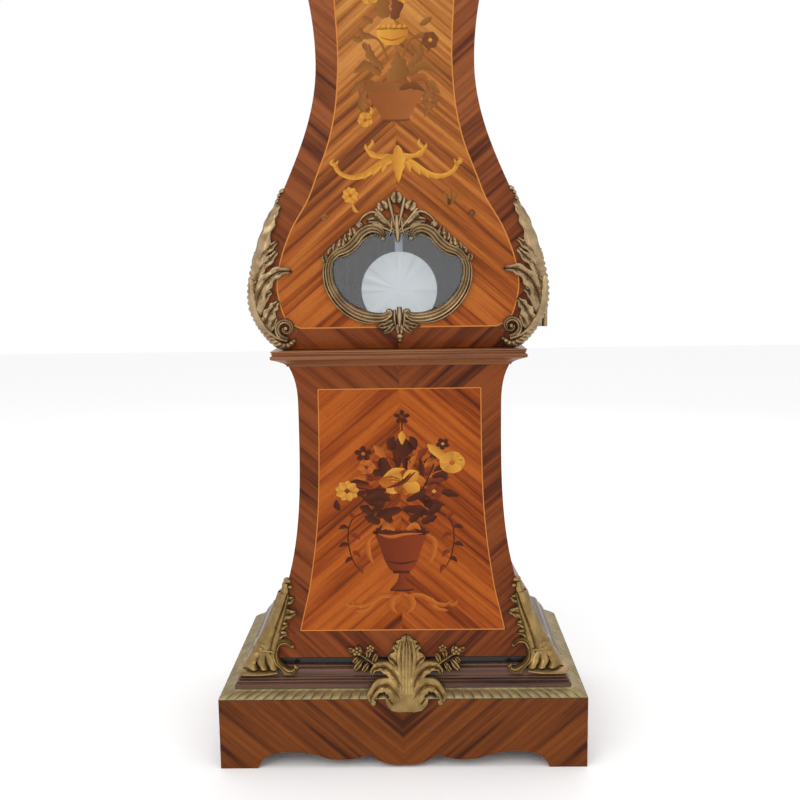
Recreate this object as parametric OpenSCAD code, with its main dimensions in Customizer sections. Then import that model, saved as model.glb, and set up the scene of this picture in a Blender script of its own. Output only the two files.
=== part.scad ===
// Longcase clock with a bombe veneered case, gilt bronze mounts, a glazed pendulum window
// and an eight-day weight-driven movement.
// Millimetres. +X to the right, -Y to the front, +Z up. Origin at the middle of the footprint.

/* [Plinth] */
// Width of the plinth
plinth_w = 540; // [460:5:600]
// Depth of the plinth board to board
plinth_d = 340; // [300:5:400]
// Height of the plinth
plinth_h = 106; // [80:1:140]
// Thickness of the plinth boards
plinth_t = 20; // [14:1:26]
// How far the centre mount stands in front of the plinth
mount_proud = 4; // [2:0.5:8]
// Width of each foot
foot_w = 55; // [40:1:70]
// Height of the shaped cut between the feet
apron_rise = 24; // [16:1:34]

/* [Base mouldings] */
// Slope width of the bronze border
border_w = 20; // [14:1:26]
// Rise of the bronze border
border_h = 9; // [6:0.5:14]
// Height of the stepped moulding above the plinth
step_h = 35; // [28:1:44]
// How far the moulding steps in from the plinth edge
step_in = 44; // [36:1:50]
// Height of the ebonised band
fillet_h = 10; // [6:1:16]
// How far the ebonised band sits in from the plinth edge
fillet_in = 48; // [44:1:56]
// Wall of the hollow mouldings, measured inwards
ring_wall = 44; // [30:1:60]

/* [Pedestal] */
// Height of the pedestal
pedestal_h = 438; // [380:1:480]
// Half width of the pedestal at its narrowest
pedestal_neck = 149.5; // [130:0.5:165]
// Height of the narrowest part above the pedestal's foot
pedestal_neck_z = 369; // [330:1:380]
// How quickly the pedestal sweeps out to its foot
pedestal_sweep = 3.3; // [2.5:0.1:4]
// Flare under the waist moulding
pedestal_flare = 11; // [6:1:16]
// Front of the pedestal's neck, ahead of the middle
pedestal_front = 90; // [80:1:105]
// Thickness of the pedestal boards
pedestal_wall = 16; // [12:1:20]

/* [Waist moulding] */
// Height of the waist moulding
waist_h = 24; // [20:1:30]
// Projection of its nose
waist_nose = 22; // [16:1:28]

/* [Trunk] */
// Height of the trunk
trunk_h = 827; // [700:1:900]
// Half width where the trunk stands on the waist moulding
trunk_foot = 167; // [155:1:175]
// Half width at the belly
trunk_belly = 208; // [190:1:215]
// Height of the belly above the trunk's foot
belly_z = 77; // [60:1:95]
// Half width at the neck
trunk_neck = 111; // [104:0.5:120]
// Height of the neck above the trunk's foot
neck_z = 406; // [360:1:440]
// Half width at the top
trunk_top = 198; // [185:1:206]
// Front of the belly, ahead of the middle
belly_front = 106; // [98:1:114]
// Front of the neck, ahead of the middle
neck_front = 92; // [84:1:98]
// How far the front tucks in at the foot
foot_tuck = 8; // [0:1:14]
// Thickness of the trunk sides and the door
trunk_wall = 14; // [11:1:17]
// Depth of the door's returns behind its front, at the belly
door_return = 44; // [38:1:50]
// Gap round the door
door_gap = 1; // [0.6:0.1:2]

/* [Lenticle] */
// Height of the window's centre above the trunk's foot
window_z = 111; // [100:1:120]
// Half width of the opening in the door
window_a = 97; // [80:1:104]
// Half height of the opening in the door
window_b = 62; // [50:1:68]
// Width of the frame round the opening
frame_band = 12; // [8:1:14]
// Thickness of the frame
frame_t = 8; // [5:1:12]
// Thickness of the glass
glass_t = 3; // [2:0.5:4]

/* [Bronze mounts] */
// Thickness of the corner mounts
mount_t = 11; // [7:1:14]
// Height of the sabots
sabot_h = 107; // [80:1:130]
// Height of the trunk mounts
trunk_mount_h = 190; // [150:1:210]
// Width of the centre mount
centre_mount_w = 160; // [120:2:190]

/* [Hood] */
// Height of the moulding under the hood
hood_base_h = 28; // [20:1:36]
// Height of the hood box
hood_h = 312; // [290:1:350]
// Half width of the hood at its foot
hood_foot = 206; // [200:1:215]
// Half width of the hood at its widest
hood_wide = 214; // [206:1:226]
// Half width of the hood at its top
hood_top_w = 186; // [176:1:200]
// Front of the hood, ahead of the middle
hood_front_y = 128; // [124:1:136]
// Thickness of the hood boards
hood_wall = 14; // [10:1:16]
// Height of the bell top
bell_h = 110; // [90:1:140]
// Height of the finial
finial_h = 210; // [160:5:240]

/* [Dial] */
// Height of the dial's centre above the hood's foot
dial_rise = 157; // [150:1:165]
// Radius of the dial plate
dial_r = 126; // [120:1:128]
// Radius of the hole in the hood front
mask_r = 118; // [112:1:119]
// Outer radius of the bezel
bezel_r = 134; // [130:1:138]
// Radius of the bezel's sight
sight_r = 112; // [106:1:114]

/* [Movement] */
// Radius of the barrels
drum_r = 25; // [20:0.5:26]
// Distance between the barrels
drum_pitch = 74; // [70:1:78]
// Centre distance from barrel to centre arbor
great_dist = 50; // [49:0.5:51]
// Radial clearance of the running fits
run = 0.05; // [0.02:0.01:0.08]

/* [Pendulum and weights] */
// Radius of the bob
bob_r = 60; // [50:1:64]
// Half thickness of the bob
bob_t = 14; // [8:1:15]
// Length from the pivot to the bob's centre
pendulum_l = 1006; // [990:1:1020]
// Radius of the weights
weight_r = 24; // [18:1:25]
// Length of the weights
weight_l = 200; // [140:5:220]

/* [Hidden] */
$fn = 64;

// Colours of the finishes
kingwood = [0.42, 0.22, 0.12];
tulipwood = [0.66, 0.40, 0.22];
ebony = [0.06, 0.05, 0.05];
walnut = [0.30, 0.16, 0.09];
oak = [0.52, 0.37, 0.22];
bronze = [0.62, 0.48, 0.22];
brass = [0.80, 0.64, 0.30];
steel = [0.62, 0.64, 0.67];
blued = [0.10, 0.13, 0.28];
enamel = [0.94, 0.93, 0.88];
glass = [0.75, 0.85, 0.90, 0.35];

// Depth datums
total_d = plinth_d + mount_proud;
back = total_d / 2;
plinth_y = back - plinth_d;

// Heights of the stacked parts
step_z = plinth_h;
fillet_z = plinth_h + step_h;
pedestal_z = fillet_z + fillet_h;
waist_z = pedestal_z + pedestal_h;
trunk_z = waist_z + waist_h;
hood_base_z = trunk_z + trunk_h;
hood_z = hood_base_z + hood_base_h;
bell_z = hood_z + hood_h;
top_z = bell_z + bell_h;
dial_z = hood_z + dial_rise;

// The movement stands on its seat board, and the board on the trunk's cheeks
movement_drop = 85;
seat_t = 18;
plate_z = dial_z - movement_drop;
cheek_top = plate_z - seat_t;

half_w = plinth_w / 2;
board_t = 12;
back_in = back - board_t;
cut = 1;

// Half width and front of the pedestal at a height
pedestal_foot = half_w - fillet_in;
pedestal_foot_front = -plinth_y - fillet_in;
function sweep_in(z) = pow(max(0, 1 - (z - pedestal_z) / pedestal_neck_z), pedestal_sweep);
function flare_out(z) = pedestal_flare
    * pow(max(0, (z - waist_z + pedestal_h - pedestal_neck_z) / (pedestal_h - pedestal_neck_z)), 3);
function pedestal_half(z) = pedestal_neck + (pedestal_foot - pedestal_neck) * sweep_in(z)
    + flare_out(z);
function pedestal_y(z) = -pedestal_front
    - (pedestal_foot_front - pedestal_front) * sweep_in(z) - flare_out(z);

// Half width and front of the trunk at a height
function ease(t) = (1 + cos(180 * pow(min(1, max(0, t)), 0.92))) / 2;
function rise(t) = (1 - cos(180 * min(1, max(0, t)))) / 2;
function belly_part(z) = ease((z - trunk_z - belly_z) / (neck_z - belly_z));
function foot_part(z) = pow(max(0, 1 - (z - trunk_z) / belly_z), 2);
function top_part(z) = rise((z - trunk_z - neck_z) / (trunk_h - neck_z));
function trunk_half(z) = trunk_neck + (trunk_belly - trunk_neck) * belly_part(z)
    - (trunk_belly - trunk_foot) * foot_part(z) + (trunk_top - trunk_neck) * top_part(z);
function trunk_y(z) = -neck_front - (belly_front - neck_front) * belly_part(z)
    + foot_tuck * foot_part(z) - (belly_front - neck_front) * top_part(z);

// Half width of the hood at a height
function hood_half(z) = let (t = (z - hood_z) / hood_h)
    t < 0.4 ? hood_foot + (hood_wide - hood_foot) * sin(90 * t / 0.4)
            : hood_wide - (hood_wide - hood_top_w) * (1 - cos(90 * (t - 0.4) / 0.6));

function levels(z0, z1, n) = [for (i = [0:n]) z0 + (z1 - z0) * i / n];

// Solid with a front outline given by two functions of height, flush at the back
module bombe(half, front, z0, z1, n, y1, grow = 0) {
    zs = levels(z0, z1, n);
    intersection() {
        translate([0, y1, 0]) rotate([90, 0, 0]) linear_extrude(y1 + total_d)
            polygon(concat([for (z = zs) [half(z) + grow, z]],
                [for (i = [n:-1:0]) [-half(zs[i]) - grow, zs[i]]]));
        translate([-plinth_w, 0, 0]) rotate([90, 0, 90]) linear_extrude(2 * plinth_w)
            polygon(concat([for (z = zs) [front(z) - grow, z]], [[y1 + cut, z1], [y1 + cut, z0]]));
    }
}

// Solid moulding with a mitred profile of [projection, height] points, flush at the back
module mitred(profile, half, front, z0, y1 = back) {
    n = len(profile) - 1;
    intersection() {
        translate([0, y1, 0]) rotate([90, 0, 0]) linear_extrude(y1 + total_d)
            polygon(concat([for (p = profile) [half + p[0], z0 + p[1]]],
                [for (i = [n:-1:0]) [-half - profile[i][0], z0 + profile[i][1]]]));
        translate([-plinth_w, 0, 0]) rotate([90, 0, 90]) linear_extrude(2 * plinth_w)
            polygon(concat([for (p = profile) [front - p[0], z0 + p[1]]],
                [[y1 + cut, z0 + profile[n][1]], [y1 + cut, z0 + profile[0][1]]]));
    }
}

// Box given by its two corners
module span(a, b) {
    translate(a) cube(b - a);
}

// Cylinder along +Y between two depths
module rod_y(r, y0, y1, x = 0, z = 0) {
    translate([x, y1, z]) rotate([90, 0, 0]) cylinder(r = r, h = y1 - y0);
}

// Points along an arc-like bow from a to b, bulging to the left by s
function bowed(a, b, s, n = 10) = [for (i = [0:n - 1]) let (t = i / n, d = b - a,
    k = 4 * s * t * (1 - t) / norm(d)) [a[0] + d[0] * t - d[1] * k, a[1] + d[1] * t + d[0] * k]];

// ---- Plinth ----

cusp_x = 48.5;
dip_x = 110;
function apron_cut() = let (foot = half_w - foot_w, shoulder = foot - 31)
    concat(bowed([0, 5], [cusp_x, apron_rise - 3.5], -6), bowed([cusp_x, apron_rise - 3.5],
        [dip_x, 14], -4), bowed([dip_x, 14], [shoulder, apron_rise], 5),
        bowed([shoulder, apron_rise], [foot, 0], 6), [[foot, 0]]);

module plinth_front_apron() {
    edge = apron_cut();
    color(kingwood) translate([0, plinth_y + plinth_t, 0]) rotate([90, 0, 0])
        linear_extrude(plinth_t) polygon(concat([for (p = edge) p],
            [[half_w, 0], [half_w, plinth_h], [-half_w, plinth_h], [-half_w, 0]],
            [for (i = [len(edge) - 1:-1:1]) [-edge[i][0], edge[i][1]]]));
}

module plinth_sides() {
    y0 = plinth_y + plinth_t;
    foot = foot_w - plinth_t;
    color(kingwood) for (s = [0, 1]) mirror([s, 0, 0])
        translate([half_w - plinth_t, 0, 0]) rotate([90, 0, 90]) linear_extrude(plinth_t)
            polygon(concat([[y0, 0], [y0, plinth_h], [back, plinth_h], [back, 0]],
                bowed([back - foot_w, 0], [back - foot_w - 30, apron_rise], -6),
                bowed([back - foot_w - 30, apron_rise], [y0 + foot + 30, apron_rise], 5),
                bowed([y0 + foot + 30, apron_rise], [y0 + foot, 0], -6), [[y0 + foot, 0]]));
}

module plinth_back_rail() {
    color(oak) span([-half_w + plinth_t, back - plinth_t, apron_rise],
        [half_w - plinth_t, back, plinth_h]);
}

// ---- Base mouldings ----

module plinth_bronze_border() {
    color(bronze) difference() {
        mitred([[0, 0], [0, 2], [-border_w * 0.5, border_h * 0.72], [-border_w, border_h]],
            half_w, plinth_y, step_z);
        span([-half_w + border_w + cut, plinth_y + border_w + cut, step_z - cut],
            [half_w - border_w - cut, back + cut, step_z + border_h + cut]);
    }
}

// Ring of a moulding: the solid less the hollow inside it
module hollow(wall, half, front, z0, z1) {
    difference() {
        children();
        span([-half + wall, front + wall, z0 - cut], [half - wall, back + cut, z1 + cut]);
    }
}

module step_moulding() {
    lip = border_w + 1;
    inner = step_in - 24;
    rise_z = step_h - border_h;
    profile = concat([[-lip, 0], [-lip, border_h + 6], [-lip - 3, border_h + 6]],
        [for (i = [0:10]) let (t = i / 10) [-lip - 4 - inner * (1 - cos(90 * t)) * 0.95,
            border_h + 7 + (rise_z - 7) * sin(90 * t)]]);
    color(walnut) hollow(step_in + ring_wall, half_w, plinth_y, step_z, fillet_z)
        mitred(profile, half_w, plinth_y, step_z);
}

module ebonised_fillet() {
    color(ebony) hollow(fillet_in + ring_wall - 4, half_w, plinth_y, fillet_z, pedestal_z)
        mitred([[0, 0], [0, fillet_h]], pedestal_foot, -pedestal_foot_front, fillet_z);
}

// ---- Pedestal ----

ped_n = 24;
module pedestal_block(grow, y1, over = 0) {
    bombe(function(z) pedestal_half(z), function(z) pedestal_y(z), pedestal_z - over,
        waist_z + over, ped_n, y1, grow);
}

module pedestal_front_panel() {
    zs = levels(pedestal_z, waist_z, ped_n);
    color(tulipwood) intersection() {
        pedestal_block(0, back);
        translate([-half_w, 0, 0]) rotate([90, 0, 90]) linear_extrude(plinth_w)
            polygon(concat([for (z = zs) [pedestal_y(z) - cut, z]],
                [for (i = [ped_n:-1:0]) [pedestal_y(zs[i]) + pedestal_wall, zs[i]]]));
    }
}

// Boards that follow a half width, from a front line to the back
module side_boards(half, front, z0, z1, n, wall) {
    zs = levels(z0, z1, n);
    for (s = [0, 1]) mirror([s, 0, 0]) intersection() {
        translate([0, back, 0]) rotate([90, 0, 0]) linear_extrude(total_d)
            polygon(concat([for (z = zs) [half(z), z]],
                [for (i = [n:-1:0]) [half(zs[i]) - wall, zs[i]]]));
        rotate([90, 0, 90]) linear_extrude(plinth_w)
            polygon(concat([for (z = zs) [front(z), z]], [[back + cut, z1], [back + cut, z0]]));
    }
}

module pedestal_sides() {
    color(tulipwood) side_boards(function(z) pedestal_half(z),
        function(z) pedestal_y(z) + pedestal_wall, pedestal_z, waist_z, ped_n, pedestal_wall);
}

// ---- Waist moulding ----

waist_in = pedestal_neck + pedestal_flare - pedestal_wall;
waist_half = max(pedestal_half(waist_z), trunk_foot);
waist_front = pedestal_y(waist_z) - 2;
module waist_moulding() {
    h = waist_h / 24;
    profile = concat([for (i = [0:6]) [(waist_nose - 4) * (1 - cos(15 * i)), 11 * h * i / 6]],
        [for (i = [-3:3]) [waist_nose - 3 + 3 * cos(30 * i), (14 + i) * h]],
        [[waist_nose - 3, 17.6 * h], [waist_nose - 3, 20 * h], [waist_nose - 1, 20.6 * h],
            [waist_nose - 1, 24 * h]]);
    color(walnut) difference() {
        mitred(profile, waist_half - 4, waist_front, waist_z);
        span([-waist_in, pedestal_y(waist_z) + pedestal_wall, waist_z - cut],
            [waist_in, back + cut, trunk_z + cut]);
    }
}

// ---- Trunk ----

trunk_n = 48;
seam_y = -belly_front + door_return;
hood_base_in = trunk_top - trunk_wall;

module trunk_block(grow, y1, z0 = trunk_z, z1 = hood_base_z) {
    bombe(function(z) trunk_half(z), function(z) trunk_y(z), z0, z1, trunk_n, y1, grow);
}

hinge_x = trunk_belly + 9;
hinge_zs = [trunk_z + belly_z - 24, hood_base_z - 52];
hinge_l = 50;
module hinge_housing(depth0, depth1) {
    for (z = hinge_zs) span([0, seam_y - depth0, z - hinge_l / 2 - 0.5],
        [hinge_x + 6, seam_y + depth1, z + hinge_l / 2 + 0.5]);
}

strike_z = neck_z + trunk_z + 180;
module trunk_sides() {
    color(tulipwood) difference() {
        union() {
            side_boards(function(z) trunk_half(z), function(z) seam_y + door_gap / 2, trunk_z,
                hood_base_z, trunk_n, trunk_wall);
            for (s = [-1, 1]) span([s > 0 ? hood_base_in - 16 : -hood_base_in - 0.5,
                seam_y + door_gap / 2, hood_base_z - 40],
                [s > 0 ? hood_base_in + 0.5 : 16 - hood_base_in, back_in - 1, cheek_top]);
        }
        hinge_housing(0, 2);
        // Recess that takes the bolt
        span([-side_in - 7, seam_y + 6, strike_z - 7], [-side_in + 30, seam_y + 14, strike_z + 7]);
    }
}

module back_plank(half, z0, z1, n) {
    zs = levels(z0, z1, n);
    translate([0, back, 0]) rotate([90, 0, 0]) linear_extrude(board_t)
        polygon(concat([for (z = zs) [half(z), z]], [for (i = [n:-1:0]) [-half(zs[i]), zs[i]]]));
}

wall_hole_r = 4;
wall_hole_x = 60;
wall_hole_z = hood_base_z + 60;
module back_board() {
    color(oak) difference() {
        union() {
            back_plank(function(z) pedestal_half(z) - pedestal_wall, pedestal_z, waist_z, ped_n);
            back_plank(function(z) waist_in, waist_z, trunk_z, 1);
            back_plank(function(z) trunk_half(z) - trunk_wall, trunk_z, hood_base_z, trunk_n);
            back_plank(function(z) hood_base_in, hood_base_z, hood_z, 1);
            back_plank(function(z) hood_half(z) - hood_wall, hood_z, bell_z, hood_n);
        }
        for (x = [-wall_hole_x, wall_hole_x])
            rod_y(wall_hole_r, back_in - cut, back + cut, x, wall_hole_z);
    }
}

// Oval outline of the window, grown by e
function oval(e) = [for (i = [0:71]) [(window_a + e) * cos(5 * i), (window_b + e) * sin(5 * i)]];
win_z = trunk_z + window_z;
module window_prism(e, y0, y1) {
    translate([0, y1, win_z]) rotate([90, 0, 0]) linear_extrude(y1 - y0) polygon(oval(e));
}

glass_y = -belly_front + 4;
module trunk_door() {
    z0 = trunk_z + door_gap;
    z1 = hood_base_z - door_gap;
    color(tulipwood) difference() {
        intersection() {
            trunk_block(0, seam_y - door_gap / 2);
            span([-half_w, -total_d, z0], [half_w, back, z1]);
        }
        trunk_block(-trunk_wall, back);
        window_prism(0, -total_d, seam_y);
        window_prism(4, glass_y, seam_y);
        hinge_housing(2, 2);
        rod_y(key_r + 1, -total_d, seam_y, -key_x, strike_z);
    }
}

// Bronze shell over both corners of a shaped body, between two heights
module trunk_mounts() {
    z0 = trunk_z + 3;
    inner = function(z) trunk_half(z) - 26 - 14 * sin(180 * (z - z0) / trunk_mount_h);
    zs = levels(z0, z0 + trunk_mount_h, 20);
    taper = function(z) mount_t * min(1, (z0 + trunk_mount_h + 6 - z) / 60, (z - z0 + 16) / 24);
    color(bronze) for (s = [0, 1]) mirror([s, 0, 0]) difference() {
        intersection() {
            bombe(function(z) trunk_half(z) + taper(z), function(z) trunk_y(z) - taper(z) * 0.8,
                z0, z0 + trunk_mount_h, 20, seam_y - 8);
            translate([0, seam_y, 0]) rotate([90, 0, 0]) linear_extrude(total_d)
                polygon(concat([for (z = zs) [inner(z), z]], [[half_w, z0 + trunk_mount_h],
                    [half_w, z0]]));
        }
        trunk_block(0.01, back);
    }
}

module lenticle_frame() {
    color(bronze) difference() {
        translate([0, -belly_front + frame_t, win_z]) rotate([90, 0, 0])
            linear_extrude(2 * frame_t) union() {
                polygon(oval(frame_band));
                polygon(concat(bowed([46, window_b], [0, window_b + 51], -10),
                    bowed([0, window_b + 51], [-46, window_b], -10)));
                polygon(concat(bowed([-16, -window_b - 4], [0, -window_b - 35], 3),
                    bowed([0, -window_b - 35], [16, -window_b - 4], 3)));
            }
        trunk_block(0.01, back);
        window_prism(-4, -total_d, back);
    }
}

module lenticle_glass() {
    color(glass) window_prism(3.5, glass_y, glass_y + glass_t);
}

// ---- Door fittings ----

module trunk_hinge_case_leaves() {
    color(brass) for (z = hinge_zs) {
        w = trunk_half(z);
        difference() {
            union() {
                span([w - trunk_wall + 2, seam_y + 0.3, z - hinge_l / 2],
                    [hinge_x - 1, seam_y + 1.8, z + hinge_l / 2]);
                for (dz = [-hinge_l / 2, hinge_l / 6 + 0.3]) translate([hinge_x, seam_y, z + dz])
                    cylinder(r = 4, h = hinge_l / 3 - 0.3);
            }
            translate([hinge_x - 4.4, seam_y - 3, z - hinge_l / 6])
                cube([10, 9, hinge_l / 3]);
        }
        translate([hinge_x, seam_y, z - hinge_l / 2]) cylinder(r = 2, h = hinge_l);
    }
}

module trunk_hinge_door_leaves() {
    color(brass) for (z = hinge_zs) {
        w = trunk_half(z);
        difference() {
            union() {
                span([w - trunk_wall + 2, seam_y - 1.8, z - hinge_l / 2],
                    [hinge_x - 1, seam_y - 0.3, z + hinge_l / 2]);
                translate([hinge_x, seam_y, z - hinge_l / 6 + 0.3])
                    cylinder(r = 4, h = hinge_l / 3 - 0.6);
            }
            for (dz = [-hinge_l / 2 - cut, hinge_l / 6])
                translate([hinge_x - 4.4, seam_y - 6, z + dz]) cube([10, 9, hinge_l / 3 + cut]);
            translate([hinge_x, seam_y, z - hinge_l]) cylinder(r = 2 + run, h = 2 * hinge_l);
        }
    }
}

// Lock: the case is screwed inside the door, and its bolt shoots into the left side
lock_h = 44;
key_r = 2.5;
side_in = trunk_half(strike_z) - trunk_wall;
bolt_x = min(side_in, trunk_half(strike_z - lock_h / 2) - trunk_wall);
key_x = bolt_x - 18;
lock_y0 = max(trunk_y(strike_z - lock_h / 2), trunk_y(strike_z + lock_h / 2)) + trunk_wall + 0.3;
lock_y1 = seam_y + 18;
bolt_l = 26;
module lock_case() {
    color(brass) difference() {
        span([-bolt_x + 2.5, lock_y0, strike_z - lock_h / 2], [-bolt_x + 34, lock_y1,
            strike_z + lock_h / 2]);
        span([-bolt_x + 2, seam_y + 7.4, strike_z - 5.4], [-bolt_x + 30, seam_y + 12.6,
            strike_z + 5.4]);
        rod_y(key_r + run, lock_y0 - cut, lock_y1 - 4, -key_x, strike_z);
    }
}

module lock_bolt() {
    color(steel) difference() {
        span([-bolt_x + 2.6, seam_y + 7.8, strike_z - 5], [-bolt_x + 2.6 + bolt_l, seam_y + 12.2,
            strike_z + 5]);
        // Notch that clears the key's end through the whole travel
        span([-key_x - key_r - 2, seam_y + 7, strike_z - key_r - 2],
            [-bolt_x + 40, seam_y + 13, strike_z + key_r + 2]);
    }
}

module door_key() {
    y0 = trunk_y(strike_z) - 5;
    color(brass) {
        rod_y(key_r, y0 - 22, lock_y1 - 5, -key_x, strike_z);
        difference() {
            rod_y(11, y0 - 24, y0 - 20, -key_x, strike_z);
            for (s = [-1, 1]) rod_y(3.2, y0 - 25, y0 - 19, -key_x + 6.2 * s, strike_z);
        }
    }
}

module escutcheon() {
    y1 = trunk_y(strike_z);
    color(bronze) difference() {
        translate([-key_x, y1, strike_z]) rotate([90, 0, 0]) linear_extrude(4)
            polygon([for (i = [0:35]) let (a = 10 * i, r = 15 + 5 * cos(4 * a))
                [r * 0.75 * sin(a), (r + 4) * cos(a)]]);
        rod_y(key_r + run, y1 - 6, y1 + cut, -key_x, strike_z);
        trunk_block(0.01, back);
    }
}

// ---- Plinth and pedestal mounts ----

module sabots() {
    z1 = pedestal_z + sabot_h;
    zs = levels(pedestal_z, z1, 16);
    taper = function(z) mount_t * min(1, (z1 + 8 - z) / 50);
    inner = function(z) pedestal_half(z) - 30 - 16 * cos(90 * (z - pedestal_z) / sabot_h);
    color(bronze) for (s = [0, 1]) mirror([s, 0, 0]) difference() {
        intersection() {
            bombe(function(z) pedestal_half(z) + taper(z), function(z) pedestal_y(z) - taper(z),
                pedestal_z, z1, 16, pedestal_y(z1) + 50);
            translate([0, back, 0]) rotate([90, 0, 0]) linear_extrude(total_d + back)
                polygon(concat([for (z = zs) [inner(z), z]], [[half_w, z1], [half_w,
                    pedestal_z]]));
        }
        pedestal_block(0.01, back);
    }
}

module plinth_centre_mount() {
    f = -pedestal_foot_front;
    top = pedestal_z + 44;
    color(bronze) intersection() {
        translate([-half_w, 0, 0]) rotate([90, 0, 90]) linear_extrude(plinth_w) polygon([
            [plinth_y - mount_proud, plinth_h - 18], [plinth_y - 0.05, plinth_h - 18],
            [plinth_y - 0.05, step_z + 2.1],
            [plinth_y + border_w * 0.5, step_z + border_h * 0.72 + 0.1],
            [plinth_y + border_w - 0.05, step_z + border_h + 0.1],
            [plinth_y + border_w - 0.05, step_z + border_h + 6.1],
            [plinth_y + border_w + 2, step_z + border_h + 20],
            [plinth_y + step_in - 10, fillet_z + 0.1], [f - 0.05, fillet_z + 0.1],
            [f - 0.05, pedestal_z], [pedestal_y(top) - 0.3, top], [pedestal_y(top) - 8, top],
            [f - 12, pedestal_z + 14], [plinth_y + 26, fillet_z + 2],
            [plinth_y + 8, step_z + 18], [plinth_y - mount_proud, step_z + 6]]);
        translate([0, back, 0]) rotate([90, 0, 0]) linear_extrude(total_d + back)
            polygon(concat(bowed([-26, plinth_h - 19], [26, plinth_h - 19], -3),
                bowed([26, plinth_h - 19], [centre_mount_w / 2, fillet_z - 4], -8),
                bowed([centre_mount_w / 2, fillet_z - 4], [0, top], -6),
                bowed([0, top], [-centre_mount_w / 2, fillet_z - 4], -6),
                bowed([-centre_mount_w / 2, fillet_z - 4], [-26, plinth_h - 19], -8)));
    }
}

// ---- Hood ----

hood_y = -hood_front_y;
hood_n = 16;
hood_mount_n = 5;
module hood_base_moulding() {
    out = hood_foot - trunk_top;
    h = hood_base_h / 28;
    profile = concat([for (i = [0:6]) [(out + 6) * (1 - cos(15 * i)), 14 * h * i / 6]],
        [[out + 9, 15 * h], [out + 9, 20 * h], [out + 6, 21 * h], [out + 4, 28 * h]]);
    color(walnut) difference() {
        mitred(profile, trunk_top, trunk_y(hood_base_z) - 8, hood_base_z);
        span([-hood_base_in - cut, hood_y + 34, hood_base_z - cut], [hood_base_in + cut,
            back + cut, hood_z + cut]);
    }
}

module hood_sides() {
    color(tulipwood) side_boards(function(z) hood_half(z),
        function(z) hood_y + 16, hood_z, bell_z, hood_n, hood_wall);
}

module hood_front() {
    zs = levels(hood_z, bell_z, hood_n);
    color(tulipwood) translate([0, hood_y + 16, 0]) rotate([90, 0, 0]) linear_extrude(16)
        difference() {
            polygon(concat([for (z = zs) [hood_half(z), z]],
                [for (i = [hood_n:-1:0]) [-hood_half(zs[i]), zs[i]]]));
            translate([0, dial_z]) circle(mask_r, $fn = 96);
        }
}

// Bell top: cornice, swelling shoulder, cove and cap
shoulder_in = 62;
shoulder_h = bell_h * 0.42;
cove_in = 32;
cove_h = bell_h - shoulder_h - 42;
bell_profile = concat([[0, 0], [0, 5], [8, 9], [12, 9], [12, 19], [6, 22]],
    [for (i = [0:10]) let (a = 9 * i) [-shoulder_in * (1 - cos(a)), 24 + shoulder_h * sin(a)]],
    [for (i = [1:8]) let (a = 11.25 * i) [-shoulder_in - cove_in * sin(a),
        24 + shoulder_h + cove_h * (1 - cos(a))]],
    [[-shoulder_in - cove_in + 6, bell_h - 18], [-shoulder_in - cove_in + 6, bell_h - 10],
        [-shoulder_in - cove_in, bell_h]]);
module hood_top() {
    cap = hood_top_w - shoulder_in - cove_in - 10;
    color(walnut) difference() {
        mitred(bell_profile, hood_top_w, hood_y, bell_z);
        span([-hood_top_w + hood_wall, hood_y + hood_wall + 2, bell_z - cut],
            [hood_top_w - hood_wall, back_in, bell_z + 18]);
        span([-cap, hood_y + hood_top_w - cap, bell_z + 17], [cap, back_in, bell_z + bell_h - 18]);
    }
}

module hood_mounts() {
    z1 = hood_z + hood_h * hood_mount_n / hood_n;
    zs = levels(hood_z, z1, hood_mount_n);
    inner = function(z) hood_half(z) - 34 + 26 * (z - hood_z) / (z1 - hood_z);
    color(bronze) for (s = [0, 1]) mirror([s, 0, 0]) difference() {
        intersection() {
            bombe(function(z) hood_half(z) + 7, function(z) hood_y - 7, hood_z, z1,
                hood_mount_n, hood_y + 44);
            translate([0, back, 0]) rotate([90, 0, 0]) linear_extrude(total_d + back)
                polygon(concat([for (z = zs) [inner(z), z]], [[half_w, z1], [half_w, hood_z]]));
        }
        bombe(function(z) hood_half(z), function(z) hood_y, hood_z, z1, hood_mount_n, back, 0.01);
    }
}

finial_y = back - 122;
module finial() {
    k = finial_h / 210;
    color(bronze) translate([0, finial_y, top_z]) rotate_extrude($fn = 48)
        polygon(concat([[0, 0], [34, 0], [34, 6 * k], [22, 12 * k], [14, 26 * k], [12, 40 * k]],
            [for (i = [0:12]) let (t = i / 12) [12 + 26 * sin(180 * t) + 8 * t, (44 + 70 * t) * k]],
            [[24, 118 * k], [24, 124 * k], [12, 130 * k]],
            [for (i = [1:8]) let (t = i / 8) [12 + 6 * sin(150 * t) - 14 * t * t + 2.2 * t,
                (130 + 78 * t) * k]], [[0, 210 * k]]));
}

// ---- Dial and bezel ----

dial_y = hood_y + 30;
bezel_y = hood_y;
pin_x = bezel_r + 7;
pin_y = bezel_y - 6.5;
lug_h = 12;
module bezel_ring() {
    color(brass) {
        translate([0, bezel_y - 0.3, dial_z]) rotate([90, 0, 0]) rotate_extrude($fn = 96)
            polygon([[sight_r + 6.5, 0], [bezel_r, 0], [bezel_r, 5], [bezel_r - 5, 10],
                [bezel_r - 12, 12], [sight_r, 7], [sight_r, 5], [sight_r + 6.5, 5]]);
        difference() {
            union() {
                span([bezel_r - 5, pin_y - 2, dial_z - lug_h / 2], [pin_x, pin_y + 2,
                    dial_z + lug_h / 2]);
                translate([pin_x, pin_y, dial_z - lug_h / 2]) cylinder(r = 4, h = lug_h);
            }
            translate([pin_x, pin_y, dial_z - lug_h]) cylinder(r = 2 + run, h = 2 * lug_h);
            rod_y(bezel_r - 1, bezel_y - 20, bezel_y + 1, 0, dial_z);
        }
    }
}

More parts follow.
